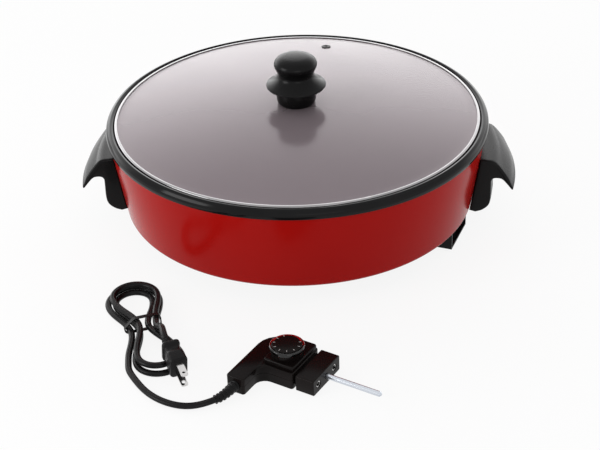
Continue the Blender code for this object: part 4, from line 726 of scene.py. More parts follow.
# %% Blades, and the cord's facts
BLADE_WIDTH = 0.0063
BLADE_LENGTH = 0.016
BLADE_SHEET = 0.0015
BLADE_SPACING = 0.0127
BLADE_ROOT = 0.004
BLADE_CORNER = 0.0018
BLADE_EDGE = 0.00025
HOLE_RADIUS = 0.0017
HOLE_REACH = 0.002
HOLE_PLACE = BLADE_LENGTH - BLADE_WIDTH * 0.7
for number, side in enumerate((-1, 1), 1):
    half = BLADE_WIDTH / 2
    stand = (PLUG @ Matrix.Translation((0, side * BLADE_SPACING / 2, 0))
             @ Matrix.Rotation(math.pi / 2, 4, "X"))
    blade = shape(f"blade_{number}", prism(
        [(-half, -BLADE_ROOT), (half, -BLADE_ROOT), (half, BLADE_LENGTH, BLADE_CORNER),
         (-half, BLADE_LENGTH, BLADE_CORNER)], -BLADE_SHEET / 2, BLADE_SHEET / 2, BLADE_EDGE), stand)
    hole = turned([(0, -HOLE_REACH), (HOLE_RADIUS, -HOLE_REACH), (HOLE_RADIUS, HOLE_REACH),
                   (0, HOLE_REACH)], 32)
    combine(blade, hole, stand @ Matrix.Translation((0, HOLE_PLACE, 0)))
    piece(blade, BRIGHT_STEEL, "heat_control", "bright_steel", f"plug_blade_{number}")
piece(plug, BLACK_VINYL, "heat_control", "black_vinyl", "plug_body")

# %% [markdown]
# ## Pan, shell and feet
# The pan is a casting with a hooked rim and a ledge for the lid. Its non-stick coating is a fine, dark
# satin. The painted shell hangs under the rim with a small shadow gap and turns in below.

# %% Cooking pan
PAN_BOTTOM_Z = 0.028
PAN_FLOOR_Z = 0.031
PAN_WALL = 0.0025
PAN_CORNER = 0.006
PAN_FLOOR_CORNER = 0.0084
PAN_TO_SHELL = 0.0072
LEDGE_BOTTOM_Z = 0.1048
HOOK_INNER = 0.1881
HOOK_WIDTH = 0.0036
HOOK_TOP_Z = 0.1066
RIM_BOTTOM_Z = 0.1033
RIM_HEIGHT = 0.0097
RIM_DRAW = 0.0005
LEDGE_WALL = 0.0036
SOFT = 0.0004
# How far in from the rim's edge and how high up the rim, and the corner there
RIM_SHARES = ((0, 0.35, 0.0012), (0.06, 0.60, 0.0012), (0.28, 0.87, 0.0015), (0.62, 1, 0.0016),
              (0.86, 0.94, 0.001))
pan_foot = shell_radius(PAN_BOTTOM_Z) - PAN_TO_SHELL
crest = RIM_RADIUS - LEDGE_OUTER
rim_line = [(RIM_RADIUS - crest * back, RIM_BOTTOM_Z + RIM_HEIGHT * rise, corner)
            for back, rise, corner in RIM_SHARES]
pan = turned([
    (0, PAN_BOTTOM_Z), (pan_foot, PAN_BOTTOM_Z, PAN_CORNER), (LEDGE_INNER + PAN_WALL, LEDGE_BOTTOM_Z, 0.001),
    (HOOK_INNER - HOOK_WIDTH, LEDGE_BOTTOM_Z), (HOOK_INNER - HOOK_WIDTH, HOOK_TOP_Z, 0.0005),
    (HOOK_INNER, HOOK_TOP_Z, 0.0003), (HOOK_INNER, RIM_BOTTOM_Z, SOFT),
    (RIM_RADIUS - RIM_DRAW, RIM_BOTTOM_Z, SOFT), *rim_line,
    (LEDGE_OUTER, LEDGE_Z + LEDGE_WALL, SOFT), (LEDGE_OUTER, LEDGE_Z, 0.0007),
    (LEDGE_INNER, LEDGE_Z, 0.0006), (pan_foot - PAN_WALL, PAN_FLOOR_Z, PAN_FLOOR_CORNER),
    (0, PAN_FLOOR_Z)], segments=4)
piece(shape("pan_casting", pan, SKILLET), BLACK_COATING, "skillet", "black_coating", "cooking_pan")

# %% Painted shell
SHEET = 0.0012
SHELL_TOP_Z = 0.1063
LIP_RADIUS = 0.1632
FOOT_BEND = 0.006
TOP_BEND = 0.004
CUT_EDGE = 0.0003
shell = turned([
    (LIP_RADIUS, GROUND, CUT_EDGE), (SHELL_FOOT, GROUND, FOOT_BEND), (SHELL_TOP, SHELL_BEND_Z, TOP_BEND),
    (SHELL_TOP, SHELL_TOP_Z), (SHELL_TOP - SHEET, SHELL_TOP_Z), (SHELL_TOP - SHEET, SHELL_BEND_Z, TOP_BEND),
    (SHELL_FOOT - SHEET, GROUND + SHEET, FOOT_BEND - SHEET), (LIP_RADIUS, GROUND + SHEET, CUT_EDGE)],
    segments=8)
piece(shape("painted_shell", shell, SKILLET), RED_PAINT, "skillet", "red_paint", "outer_shell")

# %% Feet
FOOT_CIRCLE = 0.134
FOOT_TOP_Z = 0.0196
FOOT_RADIUS = 0.0105
FOOT_BORE = 0.0019
FOOT_HOLLOW = 0.0043
for number in range(1, 5):
    angle = math.radians(90 * number - 45)
    stand = SKILLET @ Matrix.Translation((FOOT_CIRCLE * math.cos(angle), FOOT_CIRCLE * math.sin(angle), 0))
    foot = turned([
        (FOOT_BORE, FOOT_TOP_Z * 0.3), (FOOT_HOLLOW, FOOT_TOP_Z * 0.3), (FOOT_HOLLOW, 0, 0.0005),
        (FOOT_RADIUS * 0.8, 0, 0.0014), (FOOT_RADIUS * 0.9, FOOT_TOP_Z * 0.2, 0.003),
        (FOOT_RADIUS, FOOT_TOP_Z, 0.0006), (FOOT_BORE, FOOT_TOP_Z)], 48, segments=4)
    piece(shape(f"foot_moulding_{number}", foot, stand), BLACK_PLASTIC, "skillet", "black_plastic",
          f"foot_{number}")

# %% [markdown]
# ## Handles
# Each handle is a phenolic moulding that follows the shell with its hooked section. The section is
# smoothed, spun through the handle's angle, capped, and its two ends are rounded. Its two screws sit in
# counterbores in the leg.

# %% The handles' section
# How far out and how high up each point of the hooked outline is
HANDLE_SHARES = ((0.116, 1.000), (0.463, 0.967), (0.813, 0.733), (0.958, 0.567), (1.000, 0.525),
                 (0.994, 0.497), (0.960, 0.497), (0.697, 0.658), (0.552, 0.683), (0.420, 0.670),
                 (0.356, 0.625), (0.347, 0.550), (0.347, 0.283), (0.291, 0.150), (0.116, 0.050),
                 (-0.086, 0.0))
LEG_SHARE = 0.347
HANDLE_REACH = 0.0337
HANDLE_HEIGHT = 0.060
HANDLE_STEP = 0.0016
wall = shell_radius(GROUND + HANDLE_HEIGHT) + GAP


def handle_section():
    """The hooked section as (radius, height) points, smooth where the hand goes."""
    smooth = smooth_through([(wall + HANDLE_REACH * out, 0.0, GROUND + HANDLE_HEIGHT * up)
                             for out, up in HANDLE_SHARES], HANDLE_STEP)
    low, high = GROUND + HANDLE_HEIGHT * 0.02, GROUND + HANDLE_HEIGHT * 0.06
    return [(p.x, p.z) for p in smooth] + [
        (shell_radius(low) + GAP, low), (shell_radius(high) + GAP, high), (wall, GROUND + HANDLE_HEIGHT)]


print("handle section:", len(handle_section()), "points")

# %% Handles
HANDLE_HALF = math.radians(12.0)
HANDLE_STEPS = 20
HANDLE_EDGE = 0.0018
SPUN_CORNERS = 4
SCREW_TURN = math.radians(7.0)
SCREW_Z = GROUND + 0.024
SCREW_BORE = 0.0023
COUNTERBORE = 0.0046
COUNTERBORE_DEPTH = 0.008
BORE_START = 0.17


def grip(side):
    """The section spun through the handle's angle, with both ends closed and rounded."""
    bm = wire(handle_section())
    bmesh.ops.rotate(bm, cent=(0, 0, 0), matrix=Matrix.Rotation(side - HANDLE_HALF, 3, "Z"), verts=bm.verts)
    outline = bm.edges[:]
    bmesh.ops.contextual_create(bm, geom=outline)
    end = bmesh.ops.spin(bm, geom=outline, cent=(0, 0, 0), axis=(0, 0, 1), angle=2 * HANDLE_HALF,
                         steps=HANDLE_STEPS, use_merge=False)["geom_last"]
    bmesh.ops.contextual_create(bm, geom=[e for e in end if isinstance(e, bmesh.types.BMEdge)])
    bmesh.ops.remove_doubles(bm, verts=bm.verts, dist=MERGE)
    bmesh.ops.recalc_face_normals(bm, faces=bm.faces)
    ends = [f for f in bm.faces if len(f.verts) > SPUN_CORNERS]
    rounded(bm, [e for f in ends for e in f.edges], HANDLE_EDGE, 5)
    return bm


def screw_frame(angle):
    """A frame at a handle screw whose +Z points out from the skillet's axis."""
    return (SKILLET @ Matrix.Rotation(angle, 4, "Z") @ Matrix.Translation((0, 0, SCREW_Z))
            @ Matrix.Rotation(math.pi / 2, 4, "Y"))


leg = wall + HANDLE_REACH * LEG_SHARE
seat = leg - COUNTERBORE_DEPTH
for side, name in ((0.0, "right"), (math.pi, "left")):
    handle = shape(f"grip_{name}", grip(side), SKILLET)
    for way in (-1, 1):
        bore = turned([(0, BORE_START), (SCREW_BORE, BORE_START), (SCREW_BORE, seat), (COUNTERBORE, seat),
                       (COUNTERBORE, leg + HANDLE_REACH), (0, leg + HANDLE_REACH)], 40)
        combine(handle, bore, screw_frame(side + way * SCREW_TURN))
    piece(handle, BLACK_PLASTIC, "skillet", "black_plastic", f"handle_{name}")

# %% [markdown]
# ## Lid
# The lid is a shallow dome of smoked, tempered glass. A steel band is folded round its edge and reaches
# down into the pan. A dark grommet lines the steam vent near the back.

# %% Lid glass
GLASS = 0.003
BAND_RADIUS = 0.1815
BAND_HEIGHT = 0.0046
BAND_INNER = 0.1786
BAND_CLEARANCE = 0.0008
DOME_RADIUS = 0.1771
DOME_EDGE_Z = 0.0038
DOME_STEPS = 26
GLASS_RISE = 0.013
DOME_CURVE = (DOME_RADIUS ** 2 + GLASS_RISE ** 2) / (2 * GLASS_RISE)
KNOB_HOLE = 0.0023
VENT_CIRCLE = 0.149
VENT_ANGLE = math.radians(81.0)
VENT_HOLE = 0.0029


def dome_z(r):
    """Height of the glass's upper face above the underside of the band."""
    return DOME_EDGE_Z + GLASS_RISE - DOME_CURVE + math.sqrt(DOME_CURVE ** 2 - r ** 2)


dome = []
for i in range(DOME_STEPS + 1):
    r = KNOB_HOLE + (DOME_RADIUS - KNOB_HOLE) * i / DOME_STEPS
    dome.append((r, dome_z(r)))
pane_edge = BAND_RADIUS - BAND_CLEARANCE
glass = shape("lid_pane", turned(
    dome + [(pane_edge, DOME_EDGE_Z), (pane_edge, DOME_EDGE_Z - GLASS)]
    + [(r, z - GLASS) for r, z in reversed(dome)]), LID)
vent_frame = (LID @ Matrix.Rotation(VENT_ANGLE, 4, "Z")
              @ Matrix.Translation((VENT_CIRCLE, 0, dome_z(VENT_CIRCLE) - GLASS / 2))
              @ Matrix.Rotation(math.asin(VENT_CIRCLE / DOME_CURVE), 4, "Y"))
combine(glass, turned([(0, -GLASS), (VENT_HOLE, -GLASS), (VENT_HOLE, GLASS), (0, GLASS)], 40), vent_frame)
piece(glass, SMOKED_GLASS, "lid", "smoked_glass", "lid_glass")

# %% Lid band
SKIRT_RADIUS = LEDGE_INNER - 0.0012
SKIRT_DEPTH = 0.0045
FOLD = 0.0005
band = turned([
    (SKIRT_RADIUS - FOLD, -SKIRT_DEPTH), (SKIRT_RADIUS, -SKIRT_DEPTH), (SKIRT_RADIUS, 0),
    (BAND_RADIUS, 0, 0.0009), (BAND_RADIUS, BAND_HEIGHT, 0.0014), (BAND_INNER, BAND_HEIGHT, 0.0002),
    (BAND_INNER, BAND_HEIGHT - FOLD), (BAND_RADIUS - FOLD, BAND_HEIGHT - FOLD, 0.0009),
    (BAND_RADIUS - FOLD, FOLD, 0.0004), (SKIRT_RADIUS - FOLD, FOLD)], segments=5)
piece(shape("lid_trim", band, LID), BAND_STEEL, "lid", "bright_steel", "lid_band")

# %% Vent grommet
VENT_BORE = 0.0018
VENT_STEM = 0.0026
VENT_FLANGE = 0.0052
VENT_LIP = 0.0008
face_z = GLASS / 2 + GAP
vent = turned([
    (VENT_BORE, -face_z - VENT_LIP), (0.0047, -face_z - VENT_LIP, 0.0002), (0.0047, -face_z),
    (VENT_STEM, -face_z), (VENT_STEM, face_z), (VENT_FLANGE, face_z, 0.0002),
    (0.0046, face_z + 0.0006, 0.0006), (0.0028, face_z + VENT_LIP, 0.0004),
    (VENT_BORE, face_z + VENT_LIP, 0.0004)], 48)
piece(shape("vent_ring", vent, vent_frame), BLACK_STEEL, "lid", "bright_steel", "vent_grommet")

# %% [markdown]
# ## Knob
# The knob stands on a barrel-shaped base. Its grip is a cap with a wide flared skirt that keeps the
# fingers off the hot glass, and both are turned from one outline each.

# %% Knob
# How far out and how high up each point of the base, the cap's skirt and the cap is
BASE_SHARES = ((0.880, 0), (0.960, 0.12), (1, 0.45), (0.985, 0.80), (0.940, 1))
SKIRT_SHARES = ((0.990, 0.058), (0.850, 0.130), (0.700, 0.240))
CAP_SHARES = ((0.850, 0.370), (0.875, 0.500), (0.960, 0.620), (1, 0.710), (0.975, 0.800), (0.860, 0.895),
              (0.620, 0.965), (0.320, 0.992), (0, 1.0))
BASE_RADIUS = 0.0197
BASE_HEIGHT = 0.0177
BASE_Z = dome_z(KNOB_HOLE) + GAP
BASE_STEP = 0.001
CAP_Z = BASE_Z + BASE_HEIGHT + GAP
CAP_HEIGHT = 0.032
CAP_RADIUS = 0.0212
CAP_SKIRT = 0.0295
CAP_EDGE = 0.0007
CAP_STEP = 0.0009
side_line = smooth_through([(BASE_RADIUS * out, 0, BASE_Z + BASE_HEIGHT * up) for out, up in BASE_SHARES],
                           BASE_STEP)
base = turned([(KNOB_HOLE, BASE_Z), *[(p.x, p.z) for p in side_line], (KNOB_HOLE, BASE_Z + BASE_HEIGHT)], 96)
piece(shape("knob_stand", base, LID), BLACK_PLASTIC, "lid", "black_plastic", "knob_base")
outline = [(CAP_SKIRT * out, 0, CAP_Z + CAP_HEIGHT * up) for out, up in SKIRT_SHARES]
outline += [(CAP_RADIUS * out, 0, CAP_Z + CAP_HEIGHT * up) for out, up in CAP_SHARES]
cap_line = [(max(p.x, 0.0), p.z) for p in smooth_through(outline, CAP_STEP)]
cap = turned([
    (0, CAP_Z + CAP_HEIGHT / 2), (KNOB_HOLE, CAP_Z + CAP_HEIGHT / 2), (KNOB_HOLE, CAP_Z),
    (CAP_SKIRT - CAP_EDGE, CAP_Z, 0.0004), (CAP_SKIRT, CAP_Z + CAP_EDGE, 0.0004), *cap_line],
    120, segments=3)
piece(shape("knob_cap", cap, LID), BLACK_PLASTIC, "lid", "black_plastic", "knob_grip")

# %% [markdown]
# ## Heat control
# The heat control is a case in two halves with a grip turned off to one side. On its raised platform
# a round turret carries the dial. The block in front plugs into the skillet's socket beside the probe.

# %% The case's sizes
CASE_WALL = 0.002
CASE_FRONT = 0.0175
CASE_NEAR = 0.021
CASE_FAR = 0.024
CASE_CORNER = 0.0025
SPLIT_Z = 0.009
DECK_Z = 0.0165
TOP_Z = 0.0205
TURRET_TOP_Z = 0.0256
TURRET_RADIUS = 0.0142
PLATFORM_BACK = 0.014
PLATFORM_STEP = 0.0035
PLATFORM_MARGIN = 0.0008
SUNK = 0.001
CASE_PLAN = [(-GRIP_BACK, -GRIP_END, CASE_CORNER), (-GRIP_BACK + GRIP_WIDTH, -GRIP_END, CASE_CORNER),
             (-GRIP_BACK + GRIP_WIDTH, -CASE_NEAR, 0.010), (CASE_FRONT, -CASE_NEAR, CASE_CORNER),
             (CASE_FRONT, CASE_FAR, CASE_CORNER), (-GRIP_BACK, CASE_FAR, 0.020)]
PLATFORM_NEAR = -CASE_NEAR + PLATFORM_STEP
PLATFORM_FRONT = CASE_FRONT - PLATFORM_MARGIN
PLATFORM_FAR = CASE_FAR - PLATFORM_MARGIN
PLATFORM = [(x, y, CASE_CORNER) for x, y in (
    (-PLATFORM_BACK, PLATFORM_NEAR), (PLATFORM_FRONT, PLATFORM_NEAR),
    (PLATFORM_FRONT, PLATFORM_FAR), (-PLATFORM_BACK, PLATFORM_FAR))]
CASE_SCREW_PLACES = ((-GRIP_BACK + GRIP_WIDTH / 2, -GRIP_END / 2), (-GRIP_BACK / 2, CASE_FAR / 2),
                     (CASE_FRONT / 4, CASE_FAR - CASE_WALL - 0.0042))
print("case:", CASE_FRONT + GRIP_BACK, "m long")

# %% Case
LOWER_EDGE = 0.0008
UPPER_EDGE = 0.0012
SCREW_RECESS = 0.0031
RECESS_DEPTH = 0.0014
LAMP_PLACE = CONTROL @ Matrix.Translation((0, 0.0098, 0))
LAMP_HOLE = 0.0025
ABOVE_ALL = 0.03
lower = shape("case_base", prism(CASE_PLAN, 0, SPLIT_Z, LOWER_EDGE, rims=("low",)), CONTROL)
for x, y in CASE_SCREW_PLACES:
    recess = turned([(0, -SUNK), (SCREW_RECESS, -SUNK), (SCREW_RECESS, RECESS_DEPTH), (0, RECESS_DEPTH)], 32)
    combine(lower, recess, CONTROL @ Matrix.Translation((x, y, 0)))
piece(lower, CONTROL_PLASTIC, "heat_control", "black_plastic", "case_lower")
upper = shape("case_top", prism(CASE_PLAN, SPLIT_Z + GAP, DECK_Z, UPPER_EDGE, rims=("high",)), CONTROL)
combine(upper, prism(PLATFORM, DECK_Z - SUNK, TOP_Z, UPPER_EDGE, rims=("high",)), CONTROL, "UNION")
turret = turned([(0, DECK_Z - SUNK), (TURRET_RADIUS, DECK_Z - SUNK),
                 (TURRET_RADIUS, TURRET_TOP_Z, LOWER_EDGE), (0, TURRET_TOP_Z)], 72)
combine(upper, turret, CONTROL, "UNION")
lamp_hole = turned([(0, DECK_Z), (LAMP_HOLE, DECK_Z), (LAMP_HOLE, ABOVE_ALL), (0, ABOVE_ALL)], 32)
combine(upper, lamp_hole, LAMP_PLACE)
piece(upper, CONTROL_PLASTIC, "heat_control", "black_plastic", "case_upper")

# %% Connector block, probe and lamp
BLOCK_EDGE = 0.0007
BLOCK_FRONT = 0.0385
BLOCK_OFFSET = 0.0018
PROBE_RADIUS = 0.0025
PROBE_START = CASE_FRONT - 0.010
PROBE_TIP = BLOCK_FRONT + 0.054
PROBE_TAPER = 0.0015
LAMP_RADIUS = 0.0022
LAMP_EDGE = 0.0008
piece(softened("connector_block", "connector_moulding", BLOCK_EDGE, 3), CONTROL_PLASTIC, "heat_control",
      "black_plastic", "connector_block")
probe = turned([(0, PROBE_START), (PROBE_RADIUS, PROBE_START),
                (PROBE_RADIUS, PROBE_TIP - PROBE_TAPER, 0.0012),
                (PROBE_RADIUS - PROBE_TAPER, PROBE_TIP, 0.0006), (0, PROBE_TIP)], 40)
piece(shape("probe_stem", probe, CONTROL @ Matrix.Translation((0, BLOCK_OFFSET, BLOCK_Z)) @ ALONG),
      BLUE_STEEL, "heat_control", "bright_steel", "probe_rod")
lamp = turned([(0, DECK_Z), (LAMP_RADIUS, DECK_Z), (LAMP_RADIUS, TURRET_TOP_Z, LAMP_EDGE),
               (0, TURRET_TOP_Z)], 32)
piece(shape("lamp_lens", lamp, LAMP_PLACE), RED_LENS, "heat_control", "red_lens", "pilot_lamp")

# %% [markdown]
# ## Dial
# A flat dial turns on the turret, with a clear ring round its face. The ring is painted dark at its front as
# painted shade, and the far edge of the face is painted red as painted light that comes through from behind.
# One node group gives that far side as a mask from the piece's own coordinates, so the red turns with the
# dial. Nine short ticks in white print stand for the settings.

# %% The far side, where light coming through the dial is painted
DIAL = CONTROL @ Matrix.Translation((0, 0, TURRET_TOP_Z + GAP))
lit_far_side, lit_in, lit_out = new_group("lit_far_side", (("Start", 0.0), ("End", 0.01)), ("Mask",))
position = lit_far_side.nodes.new("ShaderNodeSeparateXYZ")
lit_far_side.links.new(lit_far_side.nodes.new("ShaderNodeTexCoord").outputs["Object"], position.inputs["Vector"])
ease = lit_far_side.nodes.new("ShaderNodeMapRange")
ease.interpolation_type = "SMOOTHERSTEP"
lit_far_side.links.new(lit_in.outputs["Start"], ease.inputs["From Min"])
lit_far_side.links.new(lit_in.outputs["End"], ease.inputs["From Max"])
lit_far_side.links.new(position.outputs["Y"], ease.inputs["Value"])
lit_far_side.links.new(ease.outputs["Result"], lit_out.inputs["Mask"])


def far_side_mask(tree, start, end):
    """0 up to `start` behind the dial's middle, and 1 from `end` on: the far side, where light coming
    through from behind is painted.
    """
    middle = DIAL.translation.y
    return group_node(tree, lit_far_side, Start=middle + start, End=middle + end).outputs["Mask"]


print("dial at", tuple(round(value, 4) for value in DIAL.translation))

# %% Dial ring
DIAL_BORE = 0.0033
DIAL_RADIUS = 0.0156
RING_INNER = 0.0138
RING_HEIGHT = 0.0035
SEAT_HEIGHT = RING_HEIGHT * 0.3
# The ring's front is painted this dark as painted shade, and only its far side keeps its red
RING_PAINTED_SHADE = (0.0035, 0.0022, 0.0021)
tree = RED_ARC.node_tree
ring_color = tree.nodes["Principled BSDF"].inputs["Base Color"]
ring_red = ring_color.links[0].from_socket
tree.links.new(mixed(tree, far_side_mask(tree, -0.004, 0.003), RING_PAINTED_SHADE, ring_red), ring_color)
ring = turned([(DIAL_BORE, 0), (DIAL_RADIUS, 0, 0.0004), (DIAL_RADIUS, RING_HEIGHT, 0.0011),
               (RING_INNER, RING_HEIGHT), (RING_INNER, SEAT_HEIGHT), (DIAL_BORE, SEAT_HEIGHT)], 96)
piece(shape("dial_ring", ring, DIAL), RED_ARC, "dial", "red_lens", "dial_skirt")

# %% Dial face
FACE_RADIUS = 0.0135
FACE_TOP = 0.0045
FACE_EDGE = 0.0006
# Red painted onto the black face's far edge as painted light from behind
LIT_EDGE_RED = (0.33, 0.006, 0.005)
# The painted red, light coming through the face's far edge from behind, lies outside a ball round a point
# above the face
BALL_HEIGHT = 0.008
BALL_RADIUS = 0.0125
dial_lit_edge = CONTROL_PLASTIC.copy()
dial_lit_edge.name = "dial_lit_edge"
tree = dial_lit_edge.node_tree
distance = tree.nodes.new("ShaderNodeVectorMath")
distance.operation = "DISTANCE"
distance.inputs[1].default_value = DIAL @ Vector((0, 0, BALL_HEIGHT))
tree.links.new(tree.nodes.new("ShaderNodeTexCoord").outputs["Object"], distance.inputs[0])
outside = tree.nodes.new("ShaderNodeMath")
outside.operation = "GREATER_THAN"
outside.inputs[1].default_value = BALL_RADIUS
tree.links.new(distance.outputs["Value"], outside.inputs[0])
lit_edge_mask = tree.nodes.new("ShaderNodeMath")
lit_edge_mask.operation = "MULTIPLY"
tree.links.new(far_side_mask(tree, 0.001, 0.006), lit_edge_mask.inputs[0])
tree.links.new(outside.outputs["Value"], lit_edge_mask.inputs[1])
face_color = tree.nodes["Principled BSDF"].inputs["Base Color"]
face_black = face_color.links[0].from_socket
tree.links.new(mixed(tree, lit_edge_mask.outputs["Value"], face_black, LIT_EDGE_RED), face_color)
face = turned([(DIAL_BORE, SEAT_HEIGHT + GAP), (FACE_RADIUS, SEAT_HEIGHT + GAP),
               (FACE_RADIUS, FACE_TOP, FACE_EDGE), (0, FACE_TOP), (0, RING_HEIGHT * 0.8),
               (DIAL_BORE, RING_HEIGHT * 0.8)], 96)
piece(shape("dial_cap", face, DIAL), dial_lit_edge, "dial", "black_plastic", "dial_face")

# %% Dial ticks
TICKS = 9
TICK_START = 0.0104
TICK_END = 0.0124
TICK_HALF_WIDTH = 0.0003
TICK_SUNK = 0.0001
TICK_RAISED = 0.00008
FIRST_TICK = -225
TICK_TURN = 33
marks = bmesh.new()
for i in range(TICKS):
    tick = block((TICK_START, -TICK_HALF_WIDTH, FACE_TOP - TICK_SUNK),
                 (TICK_END, TICK_HALF_WIDTH, FACE_TOP + TICK_RAISED))
    bmesh.ops.rotate(tick, cent=(0, 0, 0), verts=tick.verts,
                     matrix=Matrix.Rotation(math.radians(FIRST_TICK + TICK_TURN * i), 3, "Z"))
    mesh = bpy.data.meshes.new("tick")
    tick.to_mesh(mesh)
    tick.free()
    marks.from_mesh(mesh)
    bpy.data.meshes.remove(mesh)
piece(shape("dial_marks", marks, DIAL), WHITE_PRINT, "dial", "black_plastic")

# %% [markdown]
# ## Screws
# Fourteen pan-head screws hold the pieces together. They differ only in size, so one loop turns them all
# and cuts a cross recess into each head. A screw that stands upright takes its place from the CAD's box.

# %% Screws
def add_screw(node, body, matrix, radius, head, height, length):
    """A pan head below z = 0 with a cross recess, and a shank above it."""
    screw = shape(f"{node}_cross", turned([
        (0, -height), (head * 0.8, -height, height * 0.3), (head, -height * 0.45, height * 0.3), (head, 0),
        (radius, 0), (radius, length - radius / 2, radius * 0.3), (radius / 2, length), (0, length)],
        32, segments=3), matrix)
    for way in (1, 3):
        slot = block((-head * 0.52, -head * 0.12, -height * 1.3), (head * 0.52, head * 0.12, -height * 0.4))
        combine(screw, slot, matrix @ Matrix.Rotation(way * math.pi / 4, 4, "Z"))
    return piece(screw, BRIGHT_STEEL, body, "bright_steel", node)


# Node, body, shank radius, head radius and head height
UPRIGHT_SCREWS = [
    *[(f"foot_screw_{i}", "skillet", 0.0016, 0.004, 0.0016) for i in range(1, 5)],
    *[(f"guard_screw_{i}", "skillet", 0.0015, 0.003, 0.0015) for i in (1, 2)],
    *[(f"case_screw_{i}", "heat_control", 0.0014, 0.0028, 0.0008) for i in (1, 2, 3)],
    ("knob_screw", "lid", 0.002, 0.004, 0.002)]
for node, body, radius, head, height in UPRIGHT_SCREWS:
    low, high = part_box(node)
    stand = Matrix.Translation(((low.x + high.x) / 2, (low.y + high.y) / 2, low.z + height))
    add_screw(node, body, stand, radius, head, height, high.z - low.z - height)

# %% Handle screws
BRACKET_BELOW = 0.007
SCREW_PAST_BRACKET = 0.004
bracket = shell_radius(SCREW_Z - BRACKET_BELOW) - SHEET - 2 * GAP
for side, name in ((0.0, "right"), (math.pi, "left")):
    for number, way in enumerate((-1, 1), 1):
        stand = (screw_frame(side + way * SCREW_TURN) @ Matrix.Translation((0, 0, seat + GAP))
                 @ Matrix.Rotation(math.pi, 4, "X"))
        add_screw(f"handle_screw_{name}_{number}", "skillet", stand, 0.002, 0.004, 0.002,
                  seat + GAP - bracket + SCREW_PAST_BRACKET)

# %% [markdown]
# ## Socket guard and the CAD pieces that stay
# The guard is a plain moulded tray, so its CAD mesh is copied, made whole and softened. Small parts in
# the dark keep their CAD meshes. They only get the finish that their metal, ceramic or vinyl has.

# %% Guard and kept CAD pieces
GUARD_EDGE = 0.0005
piece(softened("socket_guard", "guard_moulding", GUARD_EDGE, 3), BLACK_PLASTIC, "skillet", "black_plastic",
      "socket_guard")
KEPT = (
    (BLACK_STEEL, ("bottom_cover", "handle_bracket_left", "handle_bracket_right", "heating_element",
                   "probe_sleeve")),
    (BRIGHT_STEEL, ("centre_stud", "centre_nut", "terminal_pin_1", "terminal_pin_2", "contact_sleeve_1",
                    "contact_sleeve_2", "thermostat_frame", "dial_shaft")),
    (CERAMIC, ("terminal_bead_1", "terminal_bead_2")),
    (BLACK_VINYL, ("knob_washer",)))
for material, names in KEPT:
    for name in names:
        kept_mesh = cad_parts[name].data
        kept_mesh.materials.clear()
        kept_mesh.materials.append(material)
print("CAD pieces kept:", sum(len(names) for _, names in KEPT))

# %% [markdown]
# ## Floor, world and lamps
# The skillet stands on a white floor in an even white room that is brighter behind it, as with a large
# softbox. Rays from the camera, and those that metal or glass sends on, see white at the least. The floor
# still takes a faint shadow, because only part of it is replaced by white.

# %% Floor
FLOOR_HALF = 6.0
FLOOR_WHITE = 0.9
FLOOR_ROUGHNESS = 0.9
FLOOR_SPECULAR = 0.1
WHITE_SHARE = 0.88


def node_math(tree, operation, first, second):
    """One step of arithmetic; each side is a number or a socket."""
    node = tree.nodes.new("ShaderNodeMath")
    node.operation = operation
    for socket, value in zip(node.inputs, (first, second)):
        if isinstance(value, float):
            socket.default_value = value
        else:
            tree.links.new(value, socket)
    return node.outputs["Value"]


def sees_white(tree):
    """1 for rays from the camera and for those that metal or glass sends on, or else 0."""
    rays = tree.nodes.new("ShaderNodeLightPath").outputs
    passed_on = node_math(tree, "MAXIMUM", rays["Is Glossy Ray"], rays["Is Transmission Ray"])
    return node_math(tree, "MAXIMUM", rays["Is Camera Ray"], passed_on)


floor_mesh = bmesh.new()
bmesh.ops.create_grid(floor_mesh, x_segments=1, y_segments=1, size=FLOOR_HALF)
floor = shape("floor", floor_mesh)
paper = bpy.data.materials.new("white_paper")
paper.use_nodes = True
tree = paper.node_tree
shader = tree.nodes["Principled BSDF"]
shader.inputs["Base Color"].default_value = (FLOOR_WHITE, FLOOR_WHITE, FLOOR_WHITE, 1.0)
shader.inputs["Roughness"].default_value = FLOOR_ROUGHNESS
shader.inputs["Specular IOR Level"].default_value = FLOOR_SPECULAR
glow = tree.nodes.new("ShaderNodeEmission")
glow.inputs["Strength"].default_value = 1.0
blend = tree.nodes.new("ShaderNodeMixShader")
tree.links.new(node_math(tree, "MULTIPLY", sees_white(tree), WHITE_SHARE), blend.inputs["Fac"])
tree.links.new(shader.outputs["BSDF"], blend.inputs[1])
tree.links.new(glow.outputs["Emission"], blend.inputs[2])
tree.links.new(blend.outputs["Shader"], tree.nodes["Material Output"].inputs["Surface"])
floor.data.materials.append(paper)
print("floor:", 2 * FLOOR_HALF, "m across")

# %% World
BASE_LIGHT = 0.62
BACK_LIGHT = 3.0
BACK_RANGE = (0.05, 0.75)
HEIGHT_RANGE = (0.18, 0.86)
RIGHT_RANGE = (-0.1, 0.75)
RIGHT_SHADE = 0.45
world = bpy.data.worlds.new("studio")
bpy.context.scene.world = world
world.use_nodes = True
tree = world.node_tree
background = tree.nodes["Background"]
background.inputs["Color"].default_value = (1.0, 1.0, 1.0, 1.0)
toward = tree.nodes.new("ShaderNodeSeparateXYZ")
tree.links.new(tree.nodes.new("ShaderNodeTexCoord").outputs["Generated"], toward.inputs["Vector"])


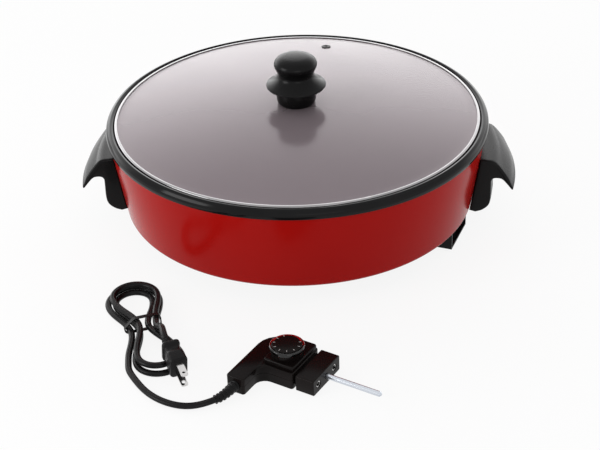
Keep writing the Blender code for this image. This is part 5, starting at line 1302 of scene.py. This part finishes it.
def rising(value, low, high):
    """0 below `low` and 1 above `high`, eased in between."""
    node = tree.nodes.new("ShaderNodeMapRange")
    node.interpolation_type = "SMOOTHERSTEP"
    node.inputs["From Min"].default_value = low
    node.inputs["From Max"].default_value = high
    tree.links.new(value, node.inputs["Value"])
    return node.outputs["Result"]


behind = rising(toward.outputs["Y"], *BACK_RANGE)
low_down = node_math(tree, "SUBTRACT", 1.0, rising(toward.outputs["Z"], *HEIGHT_RANGE))
right_shade = node_math(tree, "MULTIPLY", rising(toward.outputs["X"], *RIGHT_RANGE), RIGHT_SHADE)
back_light = node_math(tree, "MULTIPLY", node_math(tree, "SUBTRACT", 1.0, right_shade), BACK_LIGHT)
back_glow = node_math(tree, "MULTIPLY", node_math(tree, "MULTIPLY", behind, low_down), back_light)
room = node_math(tree, "ADD", back_glow, BASE_LIGHT)
pick = tree.nodes.new("ShaderNodeMix")
pick.data_type = "FLOAT"
tree.links.new(sees_white(tree), pick.inputs["Factor"])
tree.links.new(room, pick.inputs["A"])
tree.links.new(node_math(tree, "MAXIMUM", room, 1.0), pick.inputs["B"])
tree.links.new(pick.outputs["Result"], background.inputs["Strength"])
print("world: base", BASE_LIGHT, "behind", BACK_LIGHT)


# %% Lamps
LAMP_AIM = (0, 0, 0.05)


def softbox(name, place, width, height, radiance):
    """An area lamp of a given brightness per area, which the camera doesn't see."""
    data = bpy.data.lights.new(name, "AREA")
    data.shape = "RECTANGLE"
    data.size = width
    data.size_y = height
    data.energy = radiance * math.pi * width * height
    lamp = bpy.data.objects.new(name, data)
    bpy.context.scene.collection.objects.link(lamp)
    lamp.location = place
    lamp.rotation_euler = (Vector(LAMP_AIM) - Vector(place)).to_track_quat("-Z", "Y").to_euler()
    lamp.visible_camera = False


softbox("left_softbox", (-1.5, -0.75, 0.55), width=0.8, height=0.8, radiance=5.2)
softbox("front_softbox", (0.5, -1.9, 0.5), width=0.9, height=0.6, radiance=2.0)
bpy.context.scene.view_settings.view_transform = "Standard"
print("lamps:", len(bpy.data.lights))
